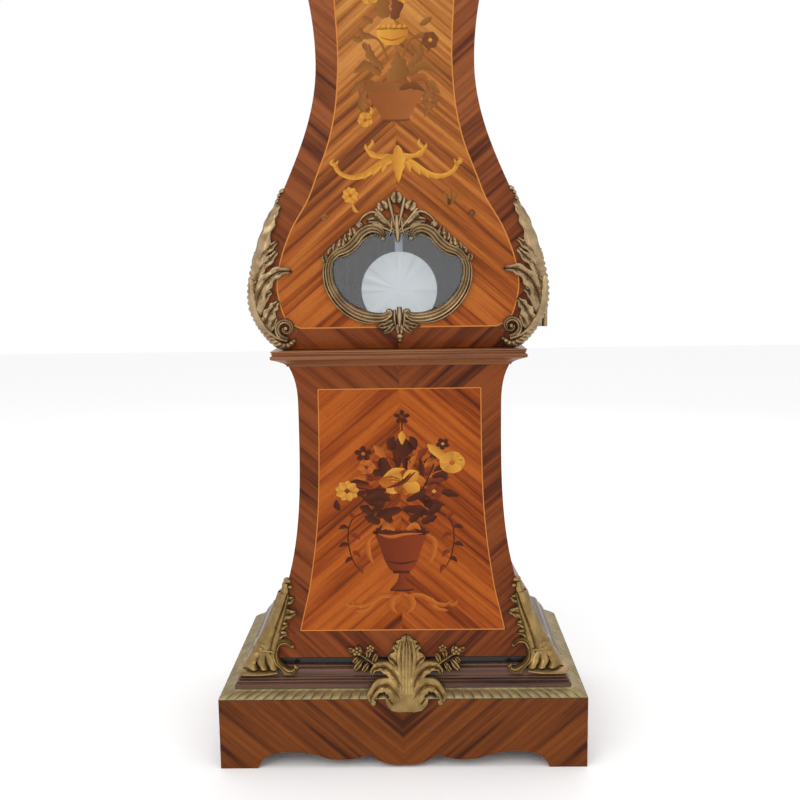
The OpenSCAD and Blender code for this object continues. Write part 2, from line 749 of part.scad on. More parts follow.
module bezel_glass() {
    color(glass) rod_y(sight_r + 6.4, bezel_y - 5.2, bezel_y - 2.4, 0, dial_z);
}

module bezel_hinge() {
    color(brass) {
        span([pin_x + 1, bezel_y - 1.8, dial_z - 16], [pin_x + 26, bezel_y, dial_z + 16]);
        for (s = [-1, 1]) {
            z = dial_z + s * (lug_h / 2 + 0.4 + 4);
            translate([pin_x, pin_y, z - 4]) cylinder(r = 4, h = 8);
            span([pin_x, bezel_y - 8, z - 4], [pin_x + 6, bezel_y - 0.5, z + 4]);
        }
        translate([pin_x, pin_y, dial_z - lug_h]) cylinder(r = 2, h = 2 * lug_h);
    }
}

arbor_hole = 4.5;
module dial_plate() {
    color(enamel) difference() {
        union() {
            rod_y(dial_r, dial_y, dial_y + 2, 0, dial_z);
            for (x = [-62, 62], dz = [-20, 60])
                rod_y(3, dial_y + 1, plate_y0, x, dial_z + dz);
        }
        rod_y(8, dial_y - cut, dial_y + 3, 0, dial_z);
        for (s = [-1, 1]) rod_y(arbor_hole, dial_y - cut, dial_y + 3, s * drum_x, drum_z);
    }
}

hour_y = dial_y - 3;
minute_y = dial_y - 8;
// Blade with a pierced heart near its tip
module hand_shape(l, w, hub) {
    difference() {
        union() {
            circle(hub, $fn = 48);
            polygon(concat(bowed([w * 0.45, 0], [w * 0.3, l * 0.62], 0, 2),
                bowed([w * 0.3, l * 0.62], [0, l * 0.84], -w * 0.7),
                bowed([0, l * 0.84], [-w * 0.3, l * 0.62], -w * 0.7), [[-w * 0.3, l * 0.62],
                [-w * 0.45, 0]]));
            polygon([[w * 0.22, l * 0.8], [0, l], [-w * 0.22, l * 0.8]]);
        }
        translate([0, l * 0.71]) circle(w * 0.36, $fn = 32);
    }
}

module hand(l, w, hub, bore, y, t, turn) {
    color(blued) translate([0, y + t, dial_z]) rotate([90, 0, 0]) linear_extrude(t)
        rotate(-turn) difference() {
            hand_shape(l, w, hub);
            circle(bore, $fn = 48);
        }
}

// Rest time is ten past ten
minute_t = 1.2;
module hour_hand() { hand(66, 14, 10, 6, hour_y, 1.4, 305); }
module minute_hand() { hand(98, 12, 8, 3, minute_y, minute_t, 60); }
module hand_nut() {
    color(brass) difference() {
        rod_y(6, minute_y - 4, minute_y, 0, dial_z);
        rod_y(2, minute_y - 5, minute_y + 1, 0, dial_z);
    }
}

// ---- Movement ----

// Wheel centres, measured from the dial's centre
drum_x = drum_pitch / 2;
drum_dz = -sqrt(great_dist * great_dist - drum_x * drum_x);
drum_z = dial_z + drum_dz;
great_teeth = 96;
great_m = 2 * great_dist / (great_teeth + 8);
centre_teeth = 60;
centre_m = 0.9;
third_teeth = 56;
third_m = 0.85;
escape_dz = 46;
anchor_dz = 76;
third_d1 = centre_m * (centre_teeth + 8) / 2;
third_d2 = third_m * (third_teeth + 7) / 2;
third_dz = (third_d1 * third_d1 - third_d2 * third_d2 + escape_dz * escape_dz) / 2 / escape_dz;
third_x = -sqrt(third_d1 * third_d1 - third_dz * third_dz);
motion_m = 0.8;
minute_dz = motion_m * (54 + 18) / 2;
hour_m = 2 * minute_dz / (48 + 12);

plate_w = 150;
plate_h = movement_drop + anchor_dz + 14;
plate_t = 3;
plate_y0 = dial_y + 32;
plate_y1 = plate_y0 + plate_t;
rear_y0 = plate_y1 + 57;
rear_y1 = rear_y0 + plate_t;
pivot_z = dial_z + anchor_dz;
great_y = plate_y1 + 6;
drum_y0 = plate_y1 + 13;
drum_y1 = drum_y0 + 30;
cable_y = (drum_y0 + drum_y1) / 2;
cable_x = drum_x + drum_r + 1;
cable_r = 0.9;
pendulum_y = rear_y1 + 45;
arbor_r = 2.5;
pivot_r = 1;

// Teeth with an addendum and a root, as one outline
function teeth(n, m, top, root, w_root, w_top) = [for (i = [0:n - 1], k = [0:3])
    let (r = m * n / 2 + (k == 0 || k == 3 ? -root : top) * m, s = k < 2 ? -1 : 1,
        a = 360 / n * (i + s * (k == 0 || k == 3 ? w_root : w_top))) [r * cos(a), r * sin(a)]];
module wheel(n, m, y, t, turn, bore = 0) {
    translate([0, y + t, 0]) rotate([90, 0, 0]) linear_extrude(t) difference() {
        rotate(turn) polygon(teeth(n, m, 0.75, 1.25, 0.22, 0.07));
        for (i = [0:4]) rotate(72 * i + 36) translate([n * m * 0.27, 0])
            circle(n * m * 0.1, $fn = 32);
        if (bore > 0) circle(bore, $fn = 48);
    }
}
module pinion(n, m, y, t, turn) {
    translate([0, y + t, 0]) rotate([90, 0, 0]) linear_extrude(t)
        rotate(turn + 180 / n) polygon(teeth(n, m, 0.65, 1.15, 0.16, 0.07));
}

// Directions of the meshes, from wheel to pinion
great_turn = atan2(-drum_dz, -drum_x);
centre_turn = atan2(third_dz, third_x);
third_turn = atan2(escape_dz - third_dz, -third_x);

module seat_board() {
    slot = cable_r + 5;
    color(oak) difference() {
        span([-hood_base_in, plate_y0 - 12, cheek_top], [hood_base_in, rear_y1 + 16, plate_z]);
        for (s = [-1, 1]) translate([s * cable_x, cable_y, cheek_top - cut])
            cylinder(r = slot, h = 20);
    }
}

module plate_blank(y0, y1) {
    span([-plate_w / 2, y0, plate_z], [plate_w / 2, y1, plate_z + plate_h]);
}
module pivot_hole(r, y0, y1, x, dz) {
    rod_y(r + run, y0 - cut, y1 + cut, x, dial_z + dz);
}
pillar_in = 5.5;
pillar_at = [for (x = [pillar_in - plate_w / 2, plate_w / 2 - pillar_in],
    z = [plate_z + 8, plate_z + plate_h - 8]) [x, z]];

module front_plate() {
    color(brass) difference() {
        plate_blank(plate_y0, plate_y1);
        pivot_hole(arbor_r, plate_y0, plate_y1, 0, 0);
        for (s = [-1, 1]) pivot_hole(3, plate_y0, plate_y1, s * drum_x, drum_dz);
        pivot_hole(pivot_r, plate_y0, plate_y1, third_x, third_dz);
        pivot_hole(pivot_r, plate_y0, plate_y1, 0, escape_dz);
        pivot_hole(pivot_r, plate_y0, plate_y1, 0, anchor_dz);
        for (p = pillar_at) rod_y(2, plate_y0 - cut, plate_y1 + cut, p[0], p[1]);
        pivot_hole(pivot_r, plate_y0, plate_y1, -plate_w / 2 + 10, 0);
    }
    // Stud of the minute wheel
    color(steel) rod_y(1.5, plate_y0 - 17, plate_y0, 0, dial_z + minute_dz);
}

module back_plate() {
    color(brass) difference() {
        plate_blank(rear_y0, rear_y1);
        pivot_hole(pivot_r, rear_y0, rear_y1, 0, 0);
        for (s = [-1, 1]) pivot_hole(1.5, rear_y0, rear_y1, s * drum_x, drum_dz);
        pivot_hole(pivot_r, rear_y0, rear_y1, third_x, third_dz);
        pivot_hole(pivot_r, rear_y0, rear_y1, 0, escape_dz);
        rod_y(6, rear_y0 - cut, rear_y1 + cut, 0, pivot_z);
        for (p = pillar_at) rod_y(2, rear_y0 - cut, rear_y1 + cut, p[0], p[1]);
        pivot_hole(pivot_r, rear_y0, rear_y1, -plate_w / 2 + 10, 0);
    }
}

module plate_pillars() {
    color(brass) for (p = pillar_at) {
        rod_y(3.4, plate_y1, rear_y0, p[0], p[1]);
        rod_y(2, plate_y0, rear_y1, p[0], p[1]);
    }
}

module going_great_wheel() {
    color(brass) translate([drum_x, 0, drum_z]) {
        wheel(great_teeth, great_m, great_y, 2.5, great_turn, 3 + run);
    }
}

// Barrel with end flanges on an arbor whose square reaches the dial
module drum(side) {
    translate([side * drum_x, 0, drum_z]) {
        color(brass) {
            rod_y(drum_r, drum_y0 + 1, drum_y1 - 1);
            for (y = [drum_y0, drum_y1 - 2]) rod_y(drum_r + 2.5, y, y + 2);
        }
        color(steel) {
            rod_y(3, plate_y0 - 14, rear_y0 - 0.2);
            rod_y(1.5, rear_y0 - 1, rear_y1);
            span([-2, dial_y + 1, -2], [2, plate_y0 - 13, 2]);
        }
    }
}
module going_drum() { drum(1); }
module strike_drum() {
    drum(-1);
    color(brass) translate([-drum_x, 0, drum_z])
        wheel(84, great_m, rear_y0 - 6.5, 2.5, 0);
}

module centre_arbor() {
    translate([0, 0, dial_z]) {
        color(steel) {
            rod_y(pivot_r, rear_y0 - 1, rear_y1);
            rod_y(arbor_r, plate_y0 - 4, rear_y0 - 0.2);
            pinion(8, great_m, great_y - 1, 5, great_turn + 180);
            rod_y(4, minute_y + minute_t, plate_y0 - 4);
            rod_y(3, minute_y, hour_y - 3);
            rod_y(2, minute_y - 4, minute_y + 1);
        }
        color(brass) {
            wheel(centre_teeth, centre_m, rear_y0 - 12, 2, centre_turn);
            pinion(18, motion_m, plate_y0 - 7, 4, 90);
        }
    }
}

module third_arbor() {
    translate([third_x, 0, dial_z + third_dz]) {
        color(steel) {
            rod_y(pivot_r, plate_y0, rear_y1);
            rod_y(1.8, plate_y1 + 0.2, rear_y0 - 0.2);
            pinion(8, centre_m, rear_y0 - 14, 6, centre_turn + 180);
        }
        color(brass) wheel(third_teeth, third_m, plate_y1 + 19, 2, third_turn);
    }
}

module escape_arbor() {
    translate([0, 0, dial_z + escape_dz]) {
        color(steel) {
            rod_y(pivot_r, plate_y0, rear_y1);
            rod_y(1.8, plate_y1 + 0.2, rear_y0 - 0.2);
            pinion(7, third_m, plate_y1 + 17, 6, third_turn + 180);
        }
        color(brass) translate([0, plate_y1 + 37, 0]) rotate([90, 0, 0]) linear_extrude(2)
            difference() {
                polygon([for (i = [0:29], k = [0:2]) let (a = 12 * i + [0, 7, 8.4][k],
                    r = [14, 18, 14.2][k]) [r * cos(a), r * sin(a)]]);
                for (i = [0:4]) rotate(72 * i) translate([8, 0]) circle(3, $fn = 24);
            }
    }
}

crutch_y = rear_y1 + 25;
fork_dz = -130;
module anchor() {
    translate([0, 0, pivot_z]) {
        color(steel) {
            rod_y(pivot_r, plate_y0, crutch_y + 5.5);
            rod_y(2, plate_y1 + 0.2, crutch_y + 3);
            // Pallets stand just outside the escape wheel
            translate([0, plate_y1 + 37, 0]) rotate([90, 0, 0]) linear_extrude(2)
                polygon(concat([[0, 4.5]], bowed([4, 3], [23, -14], 3), [[23, -14], [24, -20],
                    [20.5, -17]], bowed([20.5, -17], [3, -4.5], -3), [[3, -4.5], [-3, -4.5]],
                    bowed([-3, -4.5], [-20.5, -17], -3), [[-20.5, -17], [-24, -20]],
                    bowed([-23, -14], [-4, 3], 3)));
            span([-2, crutch_y - 1, fork_dz], [2, crutch_y + 1, 0]);
            span([-10, crutch_y - 1, fork_dz - 3], [10, crutch_y + 1, fork_dz]);
        }
        // Fork round the pendulum rod
        color(brass) for (s = [-1, 1]) span([s * 8 - 1.5, crutch_y - 1, fork_dz - 3],
            [s * 8 + 1.5, pendulum_y + 4, fork_dz]);
    }
}

module minute_wheel() {
    color(brass) translate([0, 0, dial_z + minute_dz]) difference() {
        union() {
            wheel(54, motion_m, plate_y0 - 6, 2, -90);
            pinion(12, hour_m, plate_y0 - 15, 9.5, 90);
        }
        rod_y(1.5 + run, plate_y0 - 30, plate_y0);
    }
}

module hour_wheel() {
    color(brass) translate([0, 0, dial_z]) difference() {
        union() {
            wheel(48, hour_m, plate_y0 - 14, 2.5, 90);
            rod_y(6, hour_y, plate_y0 - 11.5);
        }
        rod_y(4 + run, hour_y - cut, plate_y0 - 8);
    }
}

// ---- Pendulum ----

module suspension_cock() {
    color(brass) {
        span([-12, rear_y1, pivot_z + 7], [12, pendulum_y + 8, pivot_z + 13]);
        difference() {
            span([-7, crutch_y + 4, pivot_z - 6], [7, crutch_y + 9, pivot_z + 7]);
            rod_y(pivot_r + run, crutch_y + 3, crutch_y + 6, 0, pivot_z);
        }
        rod_y(2, crutch_y + 8, pendulum_y + 8, 0, pivot_z);
    }
}

bob_z = pivot_z - pendulum_l;
rod_end = bob_z - bob_r - 22;
module pendulum_rod() {
    color(steel) {
        difference() {
            union() {
                rod_y(5, pendulum_y - 2.5, pendulum_y + 2.5, 0, pivot_z);
                span([-6, pendulum_y - 2.5, bob_z - bob_r + 6], [6, pendulum_y + 2.5, pivot_z - 3.5]);
            }
            rod_y(2 + run, pendulum_y - 5, pendulum_y + 5, 0, pivot_z);
        }
        translate([0, pendulum_y, rod_end]) cylinder(r = 2.4, h = bob_z - bob_r + 7 - rod_end);
    }
}

module pendulum_bob() {
    color(brass) difference() {
        translate([0, pendulum_y, bob_z]) rotate([90, 0, 0]) rotate_extrude($fn = 72)
            polygon(concat([for (i = [0:12]) let (a = 7.5 * i) [bob_r * sin(a), -1.5 - (bob_t - 1.5)
                * cos(a)]], [for (i = [12:-1:0]) let (a = 7.5 * i) [bob_r * sin(a),
                1.5 + (bob_t - 1.5) * cos(a)]]));
        span([-6, pendulum_y - 2.5, bob_z - bob_r + 6], [6, pendulum_y + 2.5, bob_z + bob_r + 1]);
        translate([0, pendulum_y, bob_z - bob_r - 1]) cylinder(r = 2.4, h = 8);
    }
}

module rating_nut() {
    color(brass) difference() {
        translate([0, pendulum_y, bob_z - bob_r - 10]) cylinder(r = 10, h = 8);
        translate([0, pendulum_y, bob_z - bob_r - 11]) cylinder(r = 2.4, h = 10);
    }
}

// ---- Weights ----

weight_top = cheek_top - 52;
hook_h = 30;
module weight(side) {
    color(brass) translate([side * cable_x, cable_y, weight_top - weight_l]) rotate_extrude()
        polygon([[0, 0], [weight_r - 4, 0], [weight_r - 1, 2], [weight_r - 1, 6], [weight_r, 7],
            [weight_r, weight_l - 8], [weight_r - 1, weight_l - 6], [weight_r - 1, weight_l - 2],
            [weight_r - 4, weight_l], [5, weight_l], [2.5, weight_l + 4], [2.5, weight_l + hook_h],
            [0, weight_l + hook_h]]);
}
module going_weight() { weight(1); }
module strike_weight() { weight(-1); }

module cable(side) {
    color(steel) translate([side * cable_x, cable_y, weight_top + hook_h])
        cylinder(r = cable_r, h = drum_z - weight_top - hook_h, $fn = 24);
}
module going_cable() { cable(1); }
module strike_cable() { cable(-1); }

// ---- Strike ----

bell_r = 42;
bell_y = rear_y1 + 25;
post_z = pivot_z + 13;
rim_z = post_z + 21;
module bell() {
    color(brass) translate([0, bell_y, rim_z]) difference() {
        rotate_extrude() polygon(concat([for (i = [0:10]) let (a = 9 * i)
            [bell_r * cos(a), 28 * sin(a)]], [for (i = [10:-1:0]) let (a = 9 * i)
            [(bell_r - 2.5) * cos(a), 25 * sin(a)]]));
        cylinder(r = 3, h = 40);
    }
}

module bell_post() {
    color(steel) translate([0, bell_y, 0]) {
        translate([0, 0, post_z]) cylinder(r = 5, h = rim_z + 24.7 - post_z);
        translate([0, 0, rim_z + 24]) cylinder(r = 3, h = 5);
        translate([0, 0, rim_z + 28]) cylinder(r = 6, h = 4, $fn = 6);
    }
}

// The hammer's arbor turns in the plates and its head hangs beside the bell's rim
hammer_x = -plate_w / 2 + 10;
hammer_y = rear_y1 + 8;
hammer_dz = rim_z + 6 - dial_z;
module hammer() {
    translate([hammer_x, 0, dial_z]) {
        color(steel) {
            rod_y(pivot_r, plate_y0, rear_y1 + 3);
            rod_y(2, plate_y1 + 0.2, rear_y0 - 0.2);
            rod_y(4, rear_y1 + 1, hammer_y + 1.5);
            span([-2, hammer_y - 1.5, 0], [2, hammer_y + 1.5, hammer_dz]);
        }
        color(brass) translate([-3, hammer_y, hammer_dz]) rotate([0, 90, 0])
            cylinder(r = 5, h = 24);
    }
}

plinth_front_apron();
plinth_sides();
plinth_back_rail();
plinth_bronze_border();
step_moulding();
ebonised_fillet();
pedestal_front_panel();
pedestal_sides();
waist_moulding();
trunk_sides();
back_board();
trunk_door();
trunk_mounts();
lenticle_frame();
lenticle_glass();
sabots();
plinth_centre_mount();
trunk_hinge_case_leaves();
trunk_hinge_door_leaves();
lock_case();
lock_bolt();
door_key();
escutcheon();
hood_base_moulding();
hood_sides();
hood_front();
hood_top();
hood_mounts();
finial();
bezel_ring();
bezel_glass();
bezel_hinge();
dial_plate();
hour_hand();
minute_hand();
hand_nut();
seat_board();
front_plate();
back_plate();
plate_pillars();
going_great_wheel();
going_drum();
strike_drum();
centre_arbor();
third_arbor();
escape_arbor();
anchor();
minute_wheel();
hour_wheel();
suspension_cock();
pendulum_rod();
pendulum_bob();
rating_nut();
going_weight();
strike_weight();
going_cable();
strike_cable();
bell();
bell_post();
hammer();
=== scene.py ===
import math
import random
import bpy
from mathutils import Vector, Matrix


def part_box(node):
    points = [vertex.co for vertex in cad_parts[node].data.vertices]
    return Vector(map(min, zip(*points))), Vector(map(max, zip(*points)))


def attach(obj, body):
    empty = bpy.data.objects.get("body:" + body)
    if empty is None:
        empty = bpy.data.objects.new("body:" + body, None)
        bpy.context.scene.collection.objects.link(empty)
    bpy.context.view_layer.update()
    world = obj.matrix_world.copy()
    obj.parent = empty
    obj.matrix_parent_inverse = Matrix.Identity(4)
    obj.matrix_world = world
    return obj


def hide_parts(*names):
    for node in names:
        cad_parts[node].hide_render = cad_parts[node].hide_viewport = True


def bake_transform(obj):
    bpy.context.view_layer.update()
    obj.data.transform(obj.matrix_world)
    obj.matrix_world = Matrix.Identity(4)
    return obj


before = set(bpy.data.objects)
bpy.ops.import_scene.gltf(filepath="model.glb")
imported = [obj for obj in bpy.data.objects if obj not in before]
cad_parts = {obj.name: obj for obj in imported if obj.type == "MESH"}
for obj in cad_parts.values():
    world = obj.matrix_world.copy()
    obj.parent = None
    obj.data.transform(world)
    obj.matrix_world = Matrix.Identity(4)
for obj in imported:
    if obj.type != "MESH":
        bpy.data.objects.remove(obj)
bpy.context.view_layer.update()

mm = 0.001


def box(node):
    low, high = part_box(node)
    return [round(c / mm, 2) for c in low], [round(c / mm, 2) for c in high]


# Heights of the stacked parts, in millimetres like every size below
back = box("back_board")[1][1]
plinthTop = box("plinth_front_apron")[1][2]
plinthHalf = box("plinth_front_apron")[1][0]
plinthFront = box("plinth_front_apron")[0][1]
stepTop = box("step_moulding")[1][2]
pedestalFoot = box("pedestal_front_panel")[0][2]
pedestalTop = box("pedestal_front_panel")[1][2]
trunkFoot = box("waist_moulding")[1][2]
trunkTop = box("hood_base_moulding")[0][2]
hoodFoot = box("hood_front")[0][2]
hoodTop = box("hood_front")[1][2]
bellTop = box("hood_top")[1][2]
seam = box("trunk_door")[1][1]
hoodFace = box("hood_front")[0][1]
dialHeight = (box("dial_plate")[0][2] + box("dial_plate")[1][2]) / 2
windowHeight = (box("lenticle_glass")[0][2] + box("lenticle_glass")[1][2]) / 2
print("heights read from the frame")

# The case's swelling lines
pedestalShape = {"neck": 149.5, "foot": 222, "front": 90, "footFront": 120, "neckRise": 369,
                 "sweep": 3.3, "flare": 11, "flareDepth": 69}
trunkShape = {"foot": 167, "belly": 208, "neck": 111, "top": 198, "bellyRise": 77,
              "neckRise": 406, "bellyFront": 106, "neckFront": 92, "tuck": 8, "bias": 0.92}
hoodShape = {"foot": 206, "wide": 214, "top": 186, "widest": 0.4}


def pedestalSweep(z):
    s = pedestalShape
    rise = z - pedestalFoot
    sweep = max(0, 1 - rise / s["neckRise"]) ** s["sweep"]
    flare = s["flare"] * max(0, (rise - s["neckRise"]) / s["flareDepth"]) ** 3
    return sweep, flare


def pedestalHalf(z):
    sweep, flare = pedestalSweep(z)
    return pedestalShape["neck"] + (pedestalShape["foot"] - pedestalShape["neck"]) * sweep + flare


def pedestalFront(z):
    sweep, flare = pedestalSweep(z)
    s = pedestalShape
    return -s["front"] - (s["footFront"] - s["front"]) * sweep - flare


def trunkParts(z):
    s = trunkShape
    rise = z - trunkFoot
    t = min(1, max(0, (rise - s["bellyRise"]) / (s["neckRise"] - s["bellyRise"])))
    belly = (1 + math.cos(math.pi * t ** s["bias"])) / 2
    foot = max(0, 1 - rise / s["bellyRise"]) ** 2
    u = min(1, max(0, (rise - s["neckRise"]) / (trunkTop - trunkFoot - s["neckRise"])))
    return belly, foot, (1 - math.cos(math.pi * u)) / 2


def trunkHalf(z):
    belly, foot, top = trunkParts(z)
    s = trunkShape
    return (s["neck"] + (s["belly"] - s["neck"]) * belly - (s["belly"] - s["foot"]) * foot
            + (s["top"] - s["neck"]) * top)


def trunkFront(z):
    belly, foot, top = trunkParts(z)
    s = trunkShape
    swell = s["bellyFront"] - s["neckFront"]
    return -s["neckFront"] - swell * belly + s["tuck"] * foot - swell * top


def hoodHalf(z):
    s = hoodShape
    t = (z - hoodFoot) / (hoodTop - hoodFoot)
    if t < s["widest"]:
        return s["foot"] + (s["wide"] - s["foot"]) * math.sin(math.pi / 2 * t / s["widest"])
    a = math.pi / 2 * (t - s["widest"]) / (1 - s["widest"])
    return s["wide"] - (s["wide"] - s["top"]) * (1 - math.cos(a))


def hoodFront(z):
    return hoodFace


# Camera, light and floor
cameraSet = {"place": (0.0235, -1.4885, 0.7314), "yaw": -0.93, "down": 7.94, "roll": -0.79,
             "lens": 43.01}


def setCamera():
    yaw, down, roll = (math.radians(cameraSet[k]) for k in ("yaw", "down", "roll"))
    ahead = Vector((math.sin(yaw) * math.cos(down), math.cos(yaw) * math.cos(down),
                    -math.sin(down)))
    right = Vector((math.cos(yaw), -math.sin(yaw), 0))
    up = right.cross(ahead)
    rolledRight = right * math.cos(roll) + up * math.sin(roll)
    rolledUp = up * math.cos(roll) - right * math.sin(roll)
    bpy.ops.object.camera_add()
    camera = bpy.context.object
    camera.data.lens = cameraSet["lens"]
    camera.data.sensor_width = 36
    turn = Matrix((rolledRight, rolledUp, -ahead)).transposed().to_4x4()
    camera.matrix_world = Matrix.Translation(cameraSet["place"]) @ turn
    bpy.context.scene.camera = camera


lightSet = [  # where, where it looks, size, power
    ("keyLight", (-1.6, -2.6, 2.4), (0, 0, 0.8), 1.8, 30),
    ("fillLight", (2.0, -2.4, 1.4), (0, 0, 0.7), 1.6, 10),
    ("topLight", (0.0, -0.6, 3.6), (0, 0, 1.2), 1.6, 14),
    ("backLight", (0.6, 2.6, 2.2), (0, 0, 1.0), 1.8, 12),
]


def setLights():
    for name, place, target, size, power in lightSet:
        bpy.ops.object.light_add(type="AREA", location=place)
        light = bpy.context.object
        light.name = name
        light.data.size = size
        light.data.energy = power
        light.rotation_euler = (Vector(target) - Vector(place)).to_track_quat("-Z", "Y").to_euler()
    bpy.context.scene.view_settings.view_transform = "Standard"
    world = bpy.data.worlds.new("studio")
    world.use_nodes = True
    world.node_tree.nodes["Background"].inputs[0].default_value = (1, 1, 1, 1)
    world.node_tree.nodes["Background"].inputs[1].default_value = 1.0
    bpy.context.scene.world = world


def setFloor():
    bpy.ops.mesh.primitive_plane_add(size=14, location=(0, 0, 0))
    floor = bpy.context.object
    floor.name = "studioFloor"
    paint = bpy.data.materials.new("paleFloor")
    paint.use_nodes = True
    shader = paint.node_tree.nodes["Principled BSDF"]
    shader.inputs["Base Color"].default_value = (0.93, 0.93, 0.93, 1)
    shader.inputs["Roughness"].default_value = 0.85
    floor.data.materials.append(paint)


bpy.ops.object.select_all(action="DESELECT")
setCamera()
setLights()
setFloor()
print("camera, lights and floor set")

# Making and joining


def formSheet(name, columns, rows, place, grain=None):
    # An even grid whose points go where place(across, up) says, each from 0 to 1
    bpy.ops.object.select_all(action="DESELECT")
    bpy.ops.mesh.primitive_grid_add(x_subdivisions=columns, y_subdivisions=rows, size=2)
    sheet = bpy.context.object
    sheet.name = sheet.data.name = name
    spots = [(round((v.co.x + 1) / 2 * columns) / columns, round((v.co.y + 1) / 2 * rows) / rows)
             for v in sheet.data.vertices]
    for vertex, spot in zip(sheet.data.vertices, spots):
        vertex.co = place(*spot)
    if grain:
        layer = sheet.data.uv_layers.active.data
        for loop in sheet.data.loops:
            layer[loop.index].uv = grain(*spots[loop.vertex_index])
    return sheet


def choose(piece):
    bpy.ops.object.select_all(action="DESELECT")
    piece.select_set(True)
    bpy.context.view_layer.objects.active = piece


def faceOutwards(seal=0, fill=False):
    # Seals the chosen mesh where asked and turns its faces outwards
    bpy.ops.object.mode_set(mode="EDIT")
    bpy.ops.mesh.select_all(action="SELECT")
    if seal:
        bpy.ops.mesh.remove_doubles(threshold=seal)
    if fill:
        bpy.ops.mesh.fill_holes(sides=0)
    bpy.ops.mesh.normals_make_consistent(inside=False)
    bpy.ops.object.mode_set(mode="OBJECT")


def writePoints(piece, name, values):
    layer = piece.data.attributes.new(name, "FLOAT", "POINT")
    for point, value in zip(layer.data, values):
        point.value = value


def finishPiece(piece, body, material, replaced=(), angle=35):
    choose(piece)
    bpy.ops.object.shade_smooth_by_angle(angle=math.radians(angle))
    piece.data.materials.clear()
    piece.data.materials.append(material)
    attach(piece, body)
    if replaced:
        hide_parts(*replaced)
    return piece


def thicken(piece, thickness):
    choose(piece)
    bpy.ops.object.modifier_add(type="SOLIDIFY")
    piece.modifiers[-1].thickness = thickness * mm
    piece.modifiers[-1].offset = -1
    bpy.ops.object.modifier_apply(modifier=piece.modifiers[-1].name)


def joinPieces(pieces, name, seal=0.02):
    bpy.ops.object.select_all(action="DESELECT")
    for piece in pieces:
        piece.select_set(True)
    bpy.context.view_layer.objects.active = pieces[0]
    if len(pieces) > 1:
        bpy.ops.object.join()
    whole = bpy.context.object
    whole.name = whole.data.name = name
    faceOutwards(seal)
    return whole


def bendOnto(piece, surface):
    # The flat ornament, drawn in x, z and height, goes onto a surface of the case
    for vertex in piece.data.vertices:
        vertex.co = Vector(surface(*vertex.co)) * mm
    choose(piece)
    faceOutwards()
    return piece


def blockPiece(name, spans):
    # A box between the low and high ends given along each axis
    bpy.ops.object.select_all(action="DESELECT")
    bpy.ops.mesh.primitive_cube_add(size=1)
    piece = bpy.context.object
    piece.name = piece.data.name = name
    for vertex in piece.data.vertices:
        vertex.co = [(low + (high - low) * (c + 0.5)) * mm
                     for c, (low, high) in zip(vertex.co, spans)]
    return piece


def sided(s):
    # Points of the right side as they lie on side s
    return lambda *points: [(s * x, z) for x, z in points]


def alongPoints(points, t):
    # Smooth curve through the points, t from 0 to 1
    n = len(points) - 1
    i = min(int(t * n), n - 1)
    f = t * n - i
    p = [points[max(0, i - 1)], points[i], points[i + 1], points[min(n, i + 2)]]
    return [0.5 * (2 * b + (c - a) * f + (2 * a - 5 * b + 4 * c - d) * f * f
                   + (3 * b - a - 3 * c + d) * f ** 3)
            for a, b, c, d in zip(*[(q if isinstance(q, (tuple, list)) else (q,)) for q in p])]


def ribbon(points, widths, height, steps=14, across=6, base=0.6, lean=0.0, part=None):
    # Closed strip along the points; height(v, t) is its relief, v from -1 to 1 over the width
    def place(t, b):
        row = round(b * (across + 3))
        v = max(-1.0, min(1.0, -1 + 2 * (row - 1) / across))
        lift = height(v, t) if 0 < row < across + 2 else -base
        if row == across + 3:
            v = -1.0
        a = min(1, max(0, t + lean * abs(v) ** 1.5 * math.sin(math.pi * t)))
        x, z = alongPoints(points, a)
        xa, za = alongPoints(points, max(0, a - 0.02))
        xb, zb = alongPoints(points, min(1, a + 0.02))
        length = math.hypot(xb - xa, zb - za) or 1
        w = alongPoints(widths, t)[0] if not callable(widths) else widths(t, v)
        return (x - v * w * (zb - za) / length, z + v * w * (xb - xa) / length, lift)

    strip = formSheet("strip", steps, across + 3, place)
    # Height scaled 0 to 1, read by the bronze finishes to paint shade in the low parts
    top = max(max(v.co.z for v in strip.data.vertices), 0.01)
    writePoints(strip, "relief", [max(0, v.co.z) / top for v in strip.data.vertices])
    if part is not None:
        part.append(strip)
    return strip


print("helpers ready")

# Finishes


def addNode(tree, kind, **values):
    node = tree.nodes.new(kind)
    for key, value in values.items():
        setattr(node, key, value)
    return node


def makeGroup(name, takes, gives):
    group = bpy.data.node_groups.new(name, "ShaderNodeTree")
    for label, kind, value in takes:
        socket = group.interface.new_socket(label, in_out="INPUT", socket_type=kind)
        if value is not None:
            socket.default_value = value
    for label, kind in gives:
        group.interface.new_socket(label, in_out="OUTPUT", socket_type=kind)
    return group, addNode(group, "NodeGroupInput"), addNode(group, "NodeGroupOutput")


def stretchedNoise(tree, vector, scale, detail=3, twist=0.0):
    mapping = addNode(tree, "ShaderNodeMapping")
    mapping.inputs["Scale"].default_value = scale
    tree.links.new(vector, mapping.inputs["Vector"])
    noise = addNode(tree, "ShaderNodeTexNoise")
    noise.inputs["Scale"].default_value = 1
    noise.inputs["Detail"].default_value = detail
    noise.inputs["Distortion"].default_value = twist
    tree.links.new(mapping.outputs[0], noise.inputs["Vector"])
    return noise.outputs["Fac"]


def sums(tree, kind, a, b, clamp=False):
    node = addNode(tree, "ShaderNodeMath", operation=kind, use_clamp=clamp)
    for socket, value in zip(node.inputs, (a, b)):
        if isinstance(value, (int, float)):
            socket.default_value = value
        else:
            tree.links.new(value, socket)
    return node.outputs[0]


